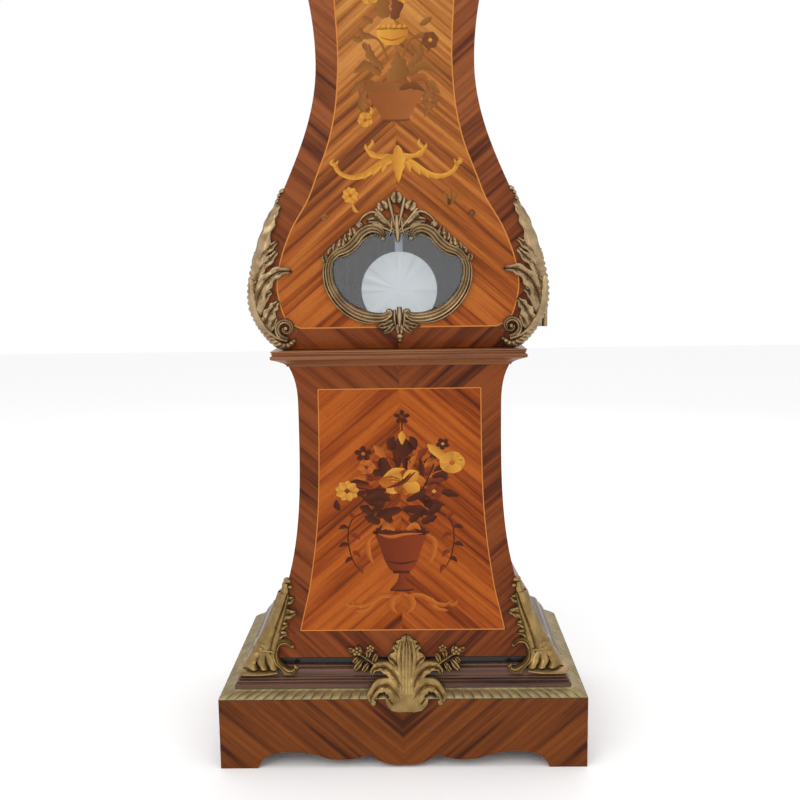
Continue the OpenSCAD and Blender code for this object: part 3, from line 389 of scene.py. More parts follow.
def blendColours(tree, factor, a, b, kind="MIX"):
    node = addNode(tree, "ShaderNodeMix", data_type="RGBA", blend_type=kind)
    for socket, value in ((node.inputs[0], factor), (node.inputs[6], a), (node.inputs[7], b)):
        if isinstance(value, (int, float)):
            socket.default_value = value
        elif isinstance(value, tuple):
            socket.default_value = (*value, 1)
        else:
            tree.links.new(value, socket)
    return node.outputs[2]


def makeVeneerGroup():
    # Streaked veneer; the vector runs along the grain in x and across it in y, in metres
    group, enter, leave = makeGroup(
        "veneerFigure",
        [("Vector", "NodeSocketVector", None), ("Light", "NodeSocketColor", (0.5, 0.2, 0.05, 1)),
         ("Middle", "NodeSocketColor", (0.35, 0.1, 0.03, 1)),
         ("Dark", "NodeSocketColor", (0.12, 0.03, 0.01, 1)),
         ("Leaf width", "NodeSocketFloat", 0.03)],
        [("Color", "NodeSocketColor"), ("Roughness", "NodeSocketFloat"),
         ("Height", "NodeSocketFloat")])
    grain = enter.outputs["Vector"]
    broad = stretchedNoise(group, grain, (2.2, 34, 1), 2, 0.4)
    streak = stretchedNoise(group, grain, (3.5, 120, 1), 4, 0.2)
    fine = stretchedNoise(group, grain, (14, 620, 1), 3)
    pores = stretchedNoise(group, grain, (90, 1900, 1), 2)
    cloud = stretchedNoise(group, grain, (5, 5, 5), 2)
    apart = addNode(group, "ShaderNodeSeparateXYZ")
    group.links.new(grain, apart.inputs[0])
    leaf = sums(group, "FLOOR", sums(group, "DIVIDE", apart.outputs["Y"],
                                     enter.outputs["Leaf width"]), 0)
    shift = addNode(group, "ShaderNodeTexWhiteNoise", noise_dimensions="1D")
    group.links.new(leaf, shift.inputs["W"])
    value = sums(group, "ADD", sums(group, "MULTIPLY", broad, 1.2),
                 sums(group, "MULTIPLY", streak, 1.3))
    value = sums(group, "ADD", value, sums(group, "MULTIPLY", fine, 0.45))
    value = sums(group, "ADD", value, sums(group, "MULTIPLY", shift.outputs["Value"], 0.22))
    value = sums(group, "ADD", value, sums(group, "MULTIPLY", cloud, 0.35))
    value = sums(group, "SUBTRACT", value, 1.42)
    value = sums(group, "MULTIPLY", value, 1.7, True)
    low = sums(group, "MULTIPLY", value, 2, True)
    high = sums(group, "SUBTRACT", sums(group, "MULTIPLY", value, 2), 1, True)
    colour = blendColours(group, low, enter.outputs["Dark"], enter.outputs["Middle"])
    colour = blendColours(group, high, colour, enter.outputs["Light"])
    dots = addNode(group, "ShaderNodeMapRange")
    group.links.new(pores, dots.inputs["Value"])
    for name, number in (("From Min", 0.34), ("From Max", 0.42), ("To Min", 0.72), ("To Max", 1)):
        dots.inputs[name].default_value = number
    colour = blendColours(group, 1.0, colour, dots.outputs[0], "MULTIPLY")
    group.links.new(colour, leave.inputs["Color"])
    group.links.new(sums(group, "ADD", sums(group, "MULTIPLY", fine, 0.14), 0.2),
                    leave.inputs["Roughness"])
    group.links.new(sums(group, "ADD", sums(group, "MULTIPLY", fine, 0.5), dots.outputs[0]),
                    leave.inputs["Height"])
    return group


veneerGroup = makeVeneerGroup()


def newFinish(name):
    finish = bpy.data.materials.new(name)
    finish.use_nodes = True
    tree = finish.node_tree
    return finish, tree, tree.nodes["Principled BSDF"]


def addBump(tree, shader, height, strength, distance):
    bump = addNode(tree, "ShaderNodeBump")
    bump.inputs["Strength"].default_value = strength
    bump.inputs["Distance"].default_value = distance
    tree.links.new(height, bump.inputs["Height"])
    tree.links.new(bump.outputs[0], shader.inputs["Normal"])


def grainSource(tree, turn, chevron):
    # Grain on Object coordinates: turned in the XZ plane, and mirrored at x = 0 for a chevron
    coords = addNode(tree, "ShaderNodeTexCoord")
    apart = addNode(tree, "ShaderNodeSeparateXYZ")
    tree.links.new(coords.outputs["Object"], apart.inputs[0])
    across = apart.outputs["X"]
    if chevron:
        across = sums(tree, "ABSOLUTE", across, 0)
    across = sums(tree, "ADD", across, apart.outputs["Y"])
    c, s = math.cos(math.radians(turn)), math.sin(math.radians(turn))
    along = sums(tree, "ADD", sums(tree, "MULTIPLY", across, c),
                 sums(tree, "MULTIPLY", apart.outputs["Z"], s))
    over = sums(tree, "ADD", sums(tree, "MULTIPLY", across, -s),
                sums(tree, "MULTIPLY", apart.outputs["Z"], c))
    join = addNode(tree, "ShaderNodeCombineXYZ")
    tree.links.new(along, join.inputs["X"])
    tree.links.new(over, join.inputs["Y"])
    tree.links.new(sums(tree, "MULTIPLY", apart.outputs["Y"], 0.2), join.inputs["Z"])
    return join.outputs[0]


def makeWood(name, light, middle, dark, leafWidth=0.03, turn=None, chevron=False, coat=0.03,
             rough=0.08, paleTowardsTop=None):
    finish, tree, shader = newFinish(name)
    if turn is None:
        source = addNode(tree, "ShaderNodeTexCoord").outputs["UV"]
    else:
        source = grainSource(tree, turn, chevron)
    figure = addNode(tree, "ShaderNodeGroup", node_tree=veneerGroup)
    tree.links.new(source, figure.inputs["Vector"])
    for label, colour in (("Light", light), ("Middle", middle), ("Dark", dark)):
        figure.inputs[label].default_value = (*colour, 1)
    figure.inputs["Leaf width"].default_value = leafWidth
    colour = figure.outputs["Color"]
    if paleTowardsTop:
        # Paler and yellower towards the top of the leaf
        apart = addNode(tree, "ShaderNodeSeparateXYZ")
        tree.links.new(addNode(tree, "ShaderNodeTexCoord").outputs["Object"], apart.inputs[0])
        rise = addNode(tree, "ShaderNodeMapRange")
        tree.links.new(apart.outputs["Z"], rise.inputs["Value"])
        for label, number in (("From Min", paleTowardsTop[0]), ("From Max", paleTowardsTop[1]),
                              ("To Min", 0), ("To Max", 1)):
            rise.inputs[label].default_value = number
        paler = blendColours(tree, 1.0, colour, paleTowardsTop[2], "MULTIPLY")
        colour = blendColours(tree, rise.outputs[0], colour, paler)
    tree.links.new(colour, shader.inputs["Base Color"])
    tree.links.new(sums(tree, "ADD", figure.outputs["Roughness"], rough),
                   shader.inputs["Roughness"])
    shader.inputs["Coat Weight"].default_value = coat
    shader.inputs["Coat Roughness"].default_value = 0.12
    shader.inputs["Specular IOR Level"].default_value = 0.1
    addBump(tree, shader, figure.outputs["Height"], 0.12, 0.0003)
    return finish


woods = {  # light, middle and dark of each veneer
    "tulipwood": ((0.36, 0.082, 0.009), (0.245, 0.044, 0.004), (0.085, 0.013, 0.002)),
    "kingwood": ((0.20, 0.048, 0.010), (0.14, 0.03, 0.006), (0.05, 0.010, 0.003)),
    "plinthWood": ((0.18, 0.048, 0.008), (0.125, 0.031, 0.005), (0.045, 0.010, 0.003)),
    "walnut": ((0.11, 0.048, 0.028), (0.078, 0.033, 0.019), (0.025, 0.011, 0.007)),
    "waistWood": ((0.24, 0.09, 0.034), (0.17, 0.06, 0.023), (0.07, 0.024, 0.012)),
    "oakPlain": ((0.34, 0.21, 0.11), (0.26, 0.15, 0.075), (0.14, 0.08, 0.038)),
    "caseInside": ((0.12, 0.08, 0.05), (0.09, 0.055, 0.034), (0.05, 0.03, 0.019)),
}
tulipwood = makeWood("tulipwoodVeneer", *woods["tulipwood"], leafWidth=0.034,
                     paleTowardsTop=(0.58, 1.12, (1.3, 2.5, 5.5)))
kingwood = makeWood("kingwoodCrossband", *woods["kingwood"], leafWidth=0.05,
                    paleTowardsTop=(0.7, 1.0, (1.2, 1.5, 2.2)))
plinthWood = makeWood("plinthVeneer", *woods["plinthWood"], leafWidth=0.05, turn=42,
                      chevron=True)
walnut = makeWood("polishedWalnut", *woods["walnut"], leafWidth=2, turn=0, coat=0.45)
waistWood = makeWood("waistWalnut", *woods["waistWood"], leafWidth=2, turn=0, coat=0.25)
oakPlain = makeWood("plainOak", *woods["oakPlain"], leafWidth=0.12, turn=90, coat=0,
                    rough=0.3)
caseInside = makeWood("carcassWood", *woods["caseInside"], leafWidth=0.15, turn=90, coat=0,
                      rough=0.35)


def makeBlackBand():
    # Near-black band under the pedestal, with a faint random haze
    finish, tree, shader = newFinish("nearBlackBand")
    coords = addNode(tree, "ShaderNodeTexCoord").outputs["Object"]
    haze = stretchedNoise(tree, coords, (60, 60, 240), 3)
    colour = blendColours(tree, haze, (0.005, 0.004, 0.004), (0.014, 0.011, 0.009))
    tree.links.new(colour, shader.inputs["Base Color"])
    tree.links.new(sums(tree, "ADD", sums(tree, "MULTIPLY", haze, 0.2), 0.18),
                   shader.inputs["Roughness"])
    shader.inputs["Coat Weight"].default_value = 0.2
    shader.inputs["Specular IOR Level"].default_value = 0.3
    return finish


def makeMetalGroup():
    # Rubbed metal with random worn patches; the hollows, read from the relief, get painted shade and
    # are duller, so the high relief stays bright
    group, enter, leave = makeGroup(
        "rubbedMetalPaintedShade",
        [("Vector", "NodeSocketVector", None), ("Relief", "NodeSocketFloat", 1.0),
         ("Bright", "NodeSocketColor", (0.6, 0.42, 0.16, 1)),
         ("Worn", "NodeSocketColor", (0.35, 0.2, 0.08, 1)),
         ("Hollow", "NodeSocketColor", (0.06, 0.035, 0.02, 1))],
        [("Color", "NodeSocketColor"), ("Roughness", "NodeSocketFloat"),
         ("Height", "NodeSocketFloat")])
    patches = stretchedNoise(group, enter.outputs["Vector"], (55, 55, 55), 4)
    grit = stretchedNoise(group, enter.outputs["Vector"], (900, 900, 900), 3)
    worn = sums(group, "MULTIPLY", sums(group, "SUBTRACT", patches, 0.36), 3.2, True)
    colour = blendColours(group, worn, enter.outputs["Worn"], enter.outputs["Bright"])
    # Painted shade: the lower the relief, the more the Hollow colour darkens the metal
    depth = addNode(group, "ShaderNodeMapRange")
    group.links.new(sums(group, "ADD", enter.outputs["Relief"],
                         sums(group, "MULTIPLY", patches, 0.25)), depth.inputs["Value"])
    for name, number in (("From Min", 0.18), ("From Max", 0.72)):
        depth.inputs[name].default_value = number
    colour = blendColours(group, depth.outputs[0], enter.outputs["Hollow"], colour)
    group.links.new(colour, leave.inputs["Color"])
    dull = sums(group, "MULTIPLY", sums(group, "SUBTRACT", 1, depth.outputs[0]), 0.3)
    group.links.new(sums(group, "ADD", sums(group, "MULTIPLY", grit, 0.25),
                         sums(group, "ADD", dull, 0.2)), leave.inputs["Roughness"])
    group.links.new(sums(group, "ADD", sums(group, "MULTIPLY", grit, 0.6), patches),
                    leave.inputs["Height"])
    return group


metalGroup = makeMetalGroup()


def makeMetal(name, bright, worn, hollow, relief=False, rough=0.0, metallic=1.0, bump=0.2):
    finish, tree, shader = newFinish(name)
    figure = addNode(tree, "ShaderNodeGroup", node_tree=metalGroup)
    tree.links.new(addNode(tree, "ShaderNodeTexCoord").outputs["Object"],
                   figure.inputs["Vector"])
    # The relief attribute drives the painted shade in the hollows
    if relief:
        high = addNode(tree, "ShaderNodeAttribute", attribute_name="relief")
        tree.links.new(high.outputs["Fac"], figure.inputs["Relief"])
    for label, colour in (("Bright", bright), ("Worn", worn), ("Hollow", hollow)):
        figure.inputs[label].default_value = (*colour, 1)
    tree.links.new(figure.outputs["Color"], shader.inputs["Base Color"])
    tree.links.new(sums(tree, "ADD", figure.outputs["Roughness"], rough),
                   shader.inputs["Roughness"])
    shader.inputs["Metallic"].default_value = metallic
    addBump(tree, shader, figure.outputs["Height"], bump, 0.0003)
    return finish


# The third colour of each metal is its painted shade for the hollows
mountBronze = makeMetal("mountBronze", (0.40, 0.285, 0.155), (0.25, 0.17, 0.092),
                        (0.035, 0.022, 0.014), relief=True, rough=0.06, metallic=0.85)
footBronze = makeMetal("footBronze", (0.33, 0.215, 0.078), (0.2, 0.125, 0.046),
                       (0.04, 0.024, 0.012), relief=True, rough=0.06, metallic=0.85)
borderBronze = makeMetal("borderBronze", (0.34, 0.27, 0.13), (0.24, 0.18, 0.085),
                         (0.045, 0.03, 0.016), relief=True, rough=0.12, metallic=0.8)
plainBronze = makeMetal("plainBronze", (0.40, 0.285, 0.145), (0.27, 0.185, 0.095),
                        (0.035, 0.022, 0.014), rough=0.06, metallic=0.85)
brassPolished = makeMetal("polishedBrass", (0.78, 0.56, 0.22), (0.66, 0.45, 0.17),
                          (0.4, 0.26, 0.1), bump=0.05)
steelPlain = makeMetal("plainSteel", (0.56, 0.57, 0.6), (0.42, 0.43, 0.46), (0.2, 0.2, 0.22),
                       bump=0.05)
bluedSteel = makeMetal("bluedSteel", (0.03, 0.05, 0.16), (0.02, 0.03, 0.10),
                       (0.01, 0.012, 0.03), bump=0.03)
blackBand = makeBlackBand()


def makeGlass(name, tint, rough):
    finish, tree, shader = newFinish(name)
    coords = addNode(tree, "ShaderNodeTexCoord").outputs["Object"]
    wave = stretchedNoise(tree, coords, (9, 9, 9), 2)
    tree.links.new(blendColours(tree, wave, tint, tuple(c * 0.93 for c in tint)),
                   shader.inputs["Base Color"])
    shader.inputs["Transmission Weight"].default_value = 1
    shader.inputs["IOR"].default_value = 1.45
    shader.inputs["Roughness"].default_value = rough
    shader.inputs["Coat Weight"].default_value = 1
    shader.inputs["Coat IOR"].default_value = 1.5
    shader.inputs["Coat Roughness"].default_value = 0.2
    addBump(tree, shader, wave, 0.05, 0.001)
    return finish


windowGlass = makeGlass("windowGlass", (0.90, 0.95, 1.0), 0.05)
dialGlass = makeGlass("dialGlass", (0.96, 0.98, 0.98), 0.0)


def makeBobFace():
    # Silvered face turned in rays from its middle; the rays are also a painted sunburst reflection,
    # and the face glows with painted light
    finish, tree, shader = newFinish("silveredBobPaintedGlow")
    coords = addNode(tree, "ShaderNodeTexCoord").outputs["Object"]
    mapping = addNode(tree, "ShaderNodeMapping")
    centre = [(a + b) / 2 for a, b in zip(*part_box("pendulum_bob"))]
    mapping.inputs["Location"].default_value = (-centre[0], -centre[1], -centre[2])
    tree.links.new(coords, mapping.inputs["Vector"])
    apart = addNode(tree, "ShaderNodeSeparateXYZ")
    tree.links.new(mapping.outputs[0], apart.inputs[0])
    angle = sums(tree, "ARCTAN2", apart.outputs["Z"], apart.outputs["X"])
    noise = addNode(tree, "ShaderNodeTexNoise", noise_dimensions="1D")
    tree.links.new(angle, noise.inputs["W"])
    noise.inputs["Scale"].default_value = 5
    noise.inputs["Detail"].default_value = 5
    colour = blendColours(tree, noise.outputs["Fac"], (0.52, 0.53, 0.52), (0.98, 0.99, 0.96))
    tree.links.new(colour, shader.inputs["Base Color"])
    # Painted glow: the face emits its own colour though it is no lamp
    tree.links.new(colour, shader.inputs["Emission Color"])
    shader.inputs["Emission Strength"].default_value = 0.6
    shader.inputs["Metallic"].default_value = 0.1
    shader.inputs["Roughness"].default_value = 0.42
    addBump(tree, shader, noise.outputs["Fac"], 0.3, 0.0006)
    return finish


bobFace = makeBobFace()


def makeInlay(name, colour, shaded):
    # Marquetry wood, scorched along one edge of each leaf
    finish, tree, shader = newFinish(name)
    coords = addNode(tree, "ShaderNodeTexCoord").outputs["Object"]
    grain = stretchedNoise(tree, coords, (260, 60, 34), 4)
    cloud = stretchedNoise(tree, coords, (40, 40, 40), 2)
    edge = addNode(tree, "ShaderNodeAttribute", attribute_name="scorch")
    tone = sums(tree, "ADD", sums(tree, "MULTIPLY", edge.outputs["Fac"], 0.75),
                sums(tree, "MULTIPLY", sums(tree, "ADD", grain, cloud), 0.32))
    tone = sums(tree, "SUBTRACT", tone, 0.12, True)
    tree.links.new(blendColours(tree, tone, shaded, colour), shader.inputs["Base Color"])
    shader.inputs["Roughness"].default_value = 0.3
    shader.inputs["Coat Weight"].default_value = 0.04
    shader.inputs["Coat Roughness"].default_value = 0.12
    addBump(tree, shader, grain, 0.08, 0.0003)
    shader.inputs["Specular IOR Level"].default_value = 0.1
    return finish


inlayWoods = {
    "box": makeInlay("inlayBoxwood", (0.56, 0.26, 0.035), (0.33, 0.12, 0.015)),
    "orange": makeInlay("inlayOrange", (0.42, 0.115, 0.014), (0.22, 0.045, 0.006)),
    "faded": makeInlay("inlayFaded", (0.24, 0.095, 0.022), (0.16, 0.052, 0.011)),
    "urn": makeInlay("inlayUrn", (0.19, 0.032, 0.006), (0.10, 0.015, 0.003)),
    "dark": makeInlay("inlayDark", (0.075, 0.016, 0.005), (0.032, 0.007, 0.003)),
    "oldUrn": makeInlay("inlayOldUrn", (0.27, 0.085, 0.02), (0.19, 0.052, 0.012)),
    "oldDark": makeInlay("inlayOldDark", (0.16, 0.05, 0.015), (0.10, 0.028, 0.009)),
    "line": makeInlay("inlayStringing", (0.62, 0.25, 0.055), (0.46, 0.16, 0.03)),
}
print("finishes made")

# Veneers
veneer = {"proud": 0.5, "thick": 0.42, "gap": 0.7, "lift": 0.3, "rowHeight": 9, "slant": 40,
          "cross": 42, "windowAcross": 97, "windowUp": 62, "windowFace": -105, "maskRadius": 118}


def grainAt(x, z, turn):
    c, s = math.cos(math.radians(turn)), math.sin(math.radians(turn))
    return ((x * c + z * s) * mm, (z * c - x * s) * mm)


def faceSheet(name, left, right, z0, z1, front, turn, columns=8, step=9):
    # Veneer on a front face, between two edges that are functions of height
    rows = max(1, round((z1 - z0) / step))

    def at(a, b):
        z = z0 + (z1 - z0) * b
        return left(z) + (right(z) - left(z)) * a, z

    def place(a, b):
        x, z = at(a, b)
        return (x * mm, (front(z) - veneer["proud"]) * mm, z * mm)

    sheet = formSheet(name, columns, rows, place, lambda a, b: grainAt(*at(a, b), turn))
    thicken(sheet, veneer["thick"])
    return sheet


def sideSheet(name, side, half, near, far, z0, z1, turn, columns):
    # Veneer on a side face; near and far are depths, functions of height
    rows = max(1, round((z1 - z0) / veneer["rowHeight"]))

    def at(a, b):
        z = z0 + (z1 - z0) * b
        depth = near(z) + (far(z) - near(z)) * (a if side > 0 else 1 - a)
        return depth, z

    def place(a, b):
        y, z = at(a, b)
        return (side * (half(z) + veneer["proud"]) * mm, y * mm, z * mm)

    sheet = formSheet(name, columns, rows, place,
                      lambda a, b: grainAt(*at(a, b), turn))
    thicken(sheet, veneer["thick"])
    return sheet


def cutHole(sheet, centre, across, up, depth):
    # Oval hole through a front sheet
    bpy.ops.object.select_all(action="DESELECT")
    bpy.ops.mesh.primitive_cylinder_add(vertices=96, radius=1, depth=depth * mm,
                                        location=[c * mm for c in centre],
                                        rotation=(math.pi / 2, 0, 0))
    cutter = bpy.context.object
    cutter.scale = (across * mm, up * mm, 1)
    bpy.ops.object.transform_apply(location=True, rotation=True, scale=True)
    choose(sheet)
    bpy.ops.object.modifier_add(type="BOOLEAN")
    cut = sheet.modifiers[-1]
    cut.object = cutter
    cut.operation = "DIFFERENCE"
    cut.solver = "EXACT"
    bpy.ops.object.modifier_apply(modifier=cut.name)
    bpy.data.objects.remove(cutter)


def between(table, z):
    # Smooth value from a short list of (height, value)
    if z <= table[0][0]:
        return table[0][1]
    for i in range(len(table) - 1):
        (z0, v0), (z1, v1) = table[i], table[i + 1]
        if z <= z1:
            m0 = (v1 - table[i - 1][1]) / (z1 - table[i - 1][0]) if i else (v1 - v0) / (z1 - z0)
            last = i + 2 >= len(table)
            m1 = (v1 - v0) / (z1 - z0) if last else (table[i + 2][1] - v0) / (table[i + 2][0] - z0)
            t, d = (z - z0) / (z1 - z0), z1 - z0
            return ((2 * t ** 3 - 3 * t * t + 1) * v0 + (t ** 3 - 2 * t * t + t) * m0 * d
                    + (3 * t * t - 2 * t ** 3) * v1 + (t ** 3 - t * t) * m1 * d)
    return table[-1][1]


# Half widths of the inner panels, by height: a light string runs round each
trunkPanel = {"bottom": 645, "top": 1412, "foot": 142, "drawnTo": 1100, "margin": 35.5, "line": [
    (645, 142), (649, 153), (657, 161.5), (671, 167.5), (690, 172), (707, 173.6), (741, 168),
    (786, 151), (827, 127), (857, 115), (907, 96), (950, 86), (985, 82), (1030, 80),
    (1100, 83.2)]}
pedestalPanel = {"bottom": 190, "top": 553.5, "foot": 156, "head": 120, "line": [
    (190, 153.5), (214, 148), (250, 139.6), (286, 133.8), (322, 128.8), (379, 123.8),
    (460, 121), (553.5, 120)]}


def trunkPanelHalf(z):
    if z < trunkPanel["bottom"]:
        t = (trunkPanel["bottom"] - z) / (trunkPanel["bottom"] - trunkFoot)
        return trunkPanel["foot"] + (trunkHalf(trunkFoot) - trunkPanel["foot"]) * t
    if z < trunkPanel["drawnTo"]:
        return between(trunkPanel["line"], z)
    if z < trunkPanel["top"]:
        return trunkHalf(z) - trunkPanel["margin"]
    t = (z - trunkPanel["top"]) / (trunkTop - trunkPanel["top"])
    edge = trunkHalf(trunkPanel["top"]) - trunkPanel["margin"]
    return edge + (trunkHalf(trunkTop) - edge) * t


def pedestalPanelHalf(z):
    low, high = pedestalPanel["bottom"], pedestalPanel["top"]
    foot, head = pedestalPanel["foot"], pedestalPanel["head"]
    if z < low:
        t = (low - z) / (low - pedestalFoot)
        return foot + (pedestalHalf(pedestalFoot) - foot) * t
    if z > high:
        t = (z - high) / (pedestalTop - high)
        return head + (pedestalHalf(pedestalTop) - head) * t
    return between(pedestalPanel["line"], z)


def minus(f):
    return lambda z: -f(z)


def zero(z):
    return 0


def layFront(prefix, body, half, front, panelHalf, low, high, panelLow, panelHigh, holes=()):
    outer = lambda z: half(z) + veneer["proud"]
    slant, cross = veneer["slant"], veneer["cross"]
    parts = [
        ("PanelLeft", minus(panelHalf), zero, panelLow, panelHigh, slant, 10),
        ("PanelRight", zero, panelHalf, panelLow, panelHigh, 180 - slant, 10),
        ("BandLeft", minus(outer), minus(panelHalf), low, high, -slant, 4),
        ("BandRight", panelHalf, outer, low, high, slant, 4),
        ("FootLeft", minus(panelHalf), zero, low, panelLow, -cross, 8),
        ("FootRight", zero, panelHalf, low, panelLow, cross, 8),
        ("HeadLeft", minus(panelHalf), zero, panelHigh, high, -cross, 8),
        ("HeadRight", zero, panelHalf, panelHigh, high, cross, 8),
    ]
    for label, left, right, z0, z1, turn, columns in parts:
        sheet = faceSheet(prefix + label, left, right, z0, z1, front, turn, columns,
                          step=9 if z1 - z0 > 60 else 6)
        panel = label.startswith("Panel")
        if panel:
            for hole in holes:
                cutHole(sheet, *hole)
        finishPiece(sheet, body, tulipwood if panel else kingwood)


doorLow, doorHigh = box("trunk_door")[0][2], box("trunk_door")[1][2]
layFront("trunk", "door", trunkHalf, trunkFront, trunkPanelHalf, doorLow, doorHigh,
         trunkPanel["bottom"], trunkPanel["top"],
         holes=[((0, veneer["windowFace"], windowHeight), veneer["windowAcross"],
                 veneer["windowUp"], 60)])
layFront("pedestal", "case", pedestalHalf, pedestalFront, pedestalPanelHalf,
         pedestalFoot + veneer["lift"], pedestalTop, pedestalPanel["bottom"], pedestalPanel["top"])


def laySides(side, label):
    # Door return, then the fixed sides of trunk, pedestal and hood
    proud, turn = veneer["proud"], veneer["slant"] * side
    runs = [
        ("doorReturn", "door", trunkHalf, lambda z: trunkFront(z) - proud, lambda z: seam,
         doorLow, doorHigh, 6),
        ("trunkSide", "case", trunkHalf, lambda z: seam + veneer["gap"], lambda z: back,
         trunkFoot, trunkTop, 12),
        ("pedestalSide", "case", pedestalHalf, lambda z: pedestalFront(z) - proud,
         lambda z: back, pedestalFoot + veneer["lift"], pedestalTop, 12),
        ("hoodSide", "case", hoodHalf, lambda z: hoodFace - proud, lambda z: back, hoodFoot,
         hoodTop, 12),
    ]
    for name, body, half, near, far, low, high, columns in runs:
        sheet = sideSheet(name + label, side, half, near, far, low, high, turn, columns)
        finishPiece(sheet, body, kingwood)


def layHoodFace(side, label):
    outer = lambda z: hoodHalf(z) + veneer["proud"]
    edges = (minus(outer), zero) if side < 0 else (zero, outer)
    sheet = faceSheet("hoodFace" + label, *edges, hoodFoot, hoodTop, hoodFront,
                      90 + 50 * side, 14)
    cutHole(sheet, (0, hoodFace, dialHeight), veneer["maskRadius"], veneer["maskRadius"], 40)
    finishPiece(sheet, "case", tulipwood)


for side, label in ((-1, "Left"), (1, "Right")):
    laySides(side, label)
for side, label in ((-1, "Left"), (1, "Right")):
    layHoodFace(side, label)
print("veneers laid")

# Stringing and marquetry
inlayLift = {"line": 0.65, "base": 0.7, "layer": 0.1}


def flat(lift):
    return lambda v, t: lift


def onTrunk(x, z, h):
    return x, trunkFront(z) - h, z


def onPedestal(x, z, h):
    return x, pedestalFront(z) - h, z


def strings(name, body, panelHalf, low, high, surface, width=0.9):
    steps = max(20, round((high - low) / 8))
    edge = [(panelHalf(low + (high - low) * i / steps), low + (high - low) * i / steps)
            for i in range(steps + 1)]
    lines = []
    for points in (edge, sided(-1)(*edge), [(-panelHalf(low), low), (panelHalf(low), low)],
                   [(-panelHalf(high), high), (panelHalf(high), high)]):
        count = len(points) * 2 if len(points) > 2 else 4
        lines.append(ribbon(points, [width, width], flat(inlayLift["line"]), count, 1, 0))
    piece = bendOnto(joinPieces(lines, name, 0.01), surface)
    finishPiece(piece, body, inlayWoods["line"])


strings("trunkStringing", "door", trunkPanelHalf, trunkPanel["bottom"], trunkPanel["top"],
        onTrunk)
strings("pedestalStringing", "case", pedestalPanelHalf, pedestalPanel["bottom"],
        pedestalPanel["top"], onPedestal, 0.7)


class inlayBed:
    # Gathers the leaves of one picture by wood, then lays them on the case
    def __init__(self, name, body, surface):
        self.name, self.body, self.surface, self.woods = name, body, surface, {}

    def leaf(self, wood, points, widths, layer=0, steps=10, teeth=0, depth=0.3):
        lift = inlayLift["base"] + inlayLift["layer"] * layer
        width = widths
        if teeth:
            def width(t, v):
                return alongPoints(widths, t)[0] * (1 - depth * abs(math.cos(math.pi * teeth * t)))
            steps = max(steps, teeth * 6)
        strip = ribbon(points, width, flat(lift), steps, 4, 0, 0.05 if teeth else 0)
        # Scorched along one edge: the sheet's rows run across the leaf
        uv = strip.data.uv_layers.active.data
        across = {loop.vertex_index: uv[loop.index].uv[1] for loop in strip.data.loops}
        rows = 7
        writePoints(strip, "scorch", [min(1, max(0, (across[i] * rows - 1) / 4))
                                      for i in range(len(strip.data.vertices))])
        self.woods.setdefault(wood, []).append(strip)

    def flower(self, wood, x, z, radius, petals, heart=None, turn=0, layer=0, inner=0.15,
               spread=0.85):
        for i in range(petals):
            a = math.radians(turn + 360 * i / petals)
            c, s = math.cos(a), math.sin(a)
            w = radius * math.sin(math.pi / petals) * spread
            self.leaf(wood, [(x + c * radius * f, z + s * radius * f)
                             for f in (inner, 0.45, 0.8, 1)], [w * 0.35, w, w * 0.9, 0.1],
                      layer + i % 2 * 0.5, 8)
        if heart:
            r = radius * 0.26
            self.leaf(heart, [(x - r, z), (x, z), (x + r, z)], [0.1, r, 0.1], layer + 2, 8)

    def lay(self):
        for wood, strips in self.woods.items():
            piece = joinPieces(strips, self.name + wood.capitalize(), 0.005)
            bendOnto(piece, self.surface)
            finishPiece(piece, self.body, inlayWoods[wood])


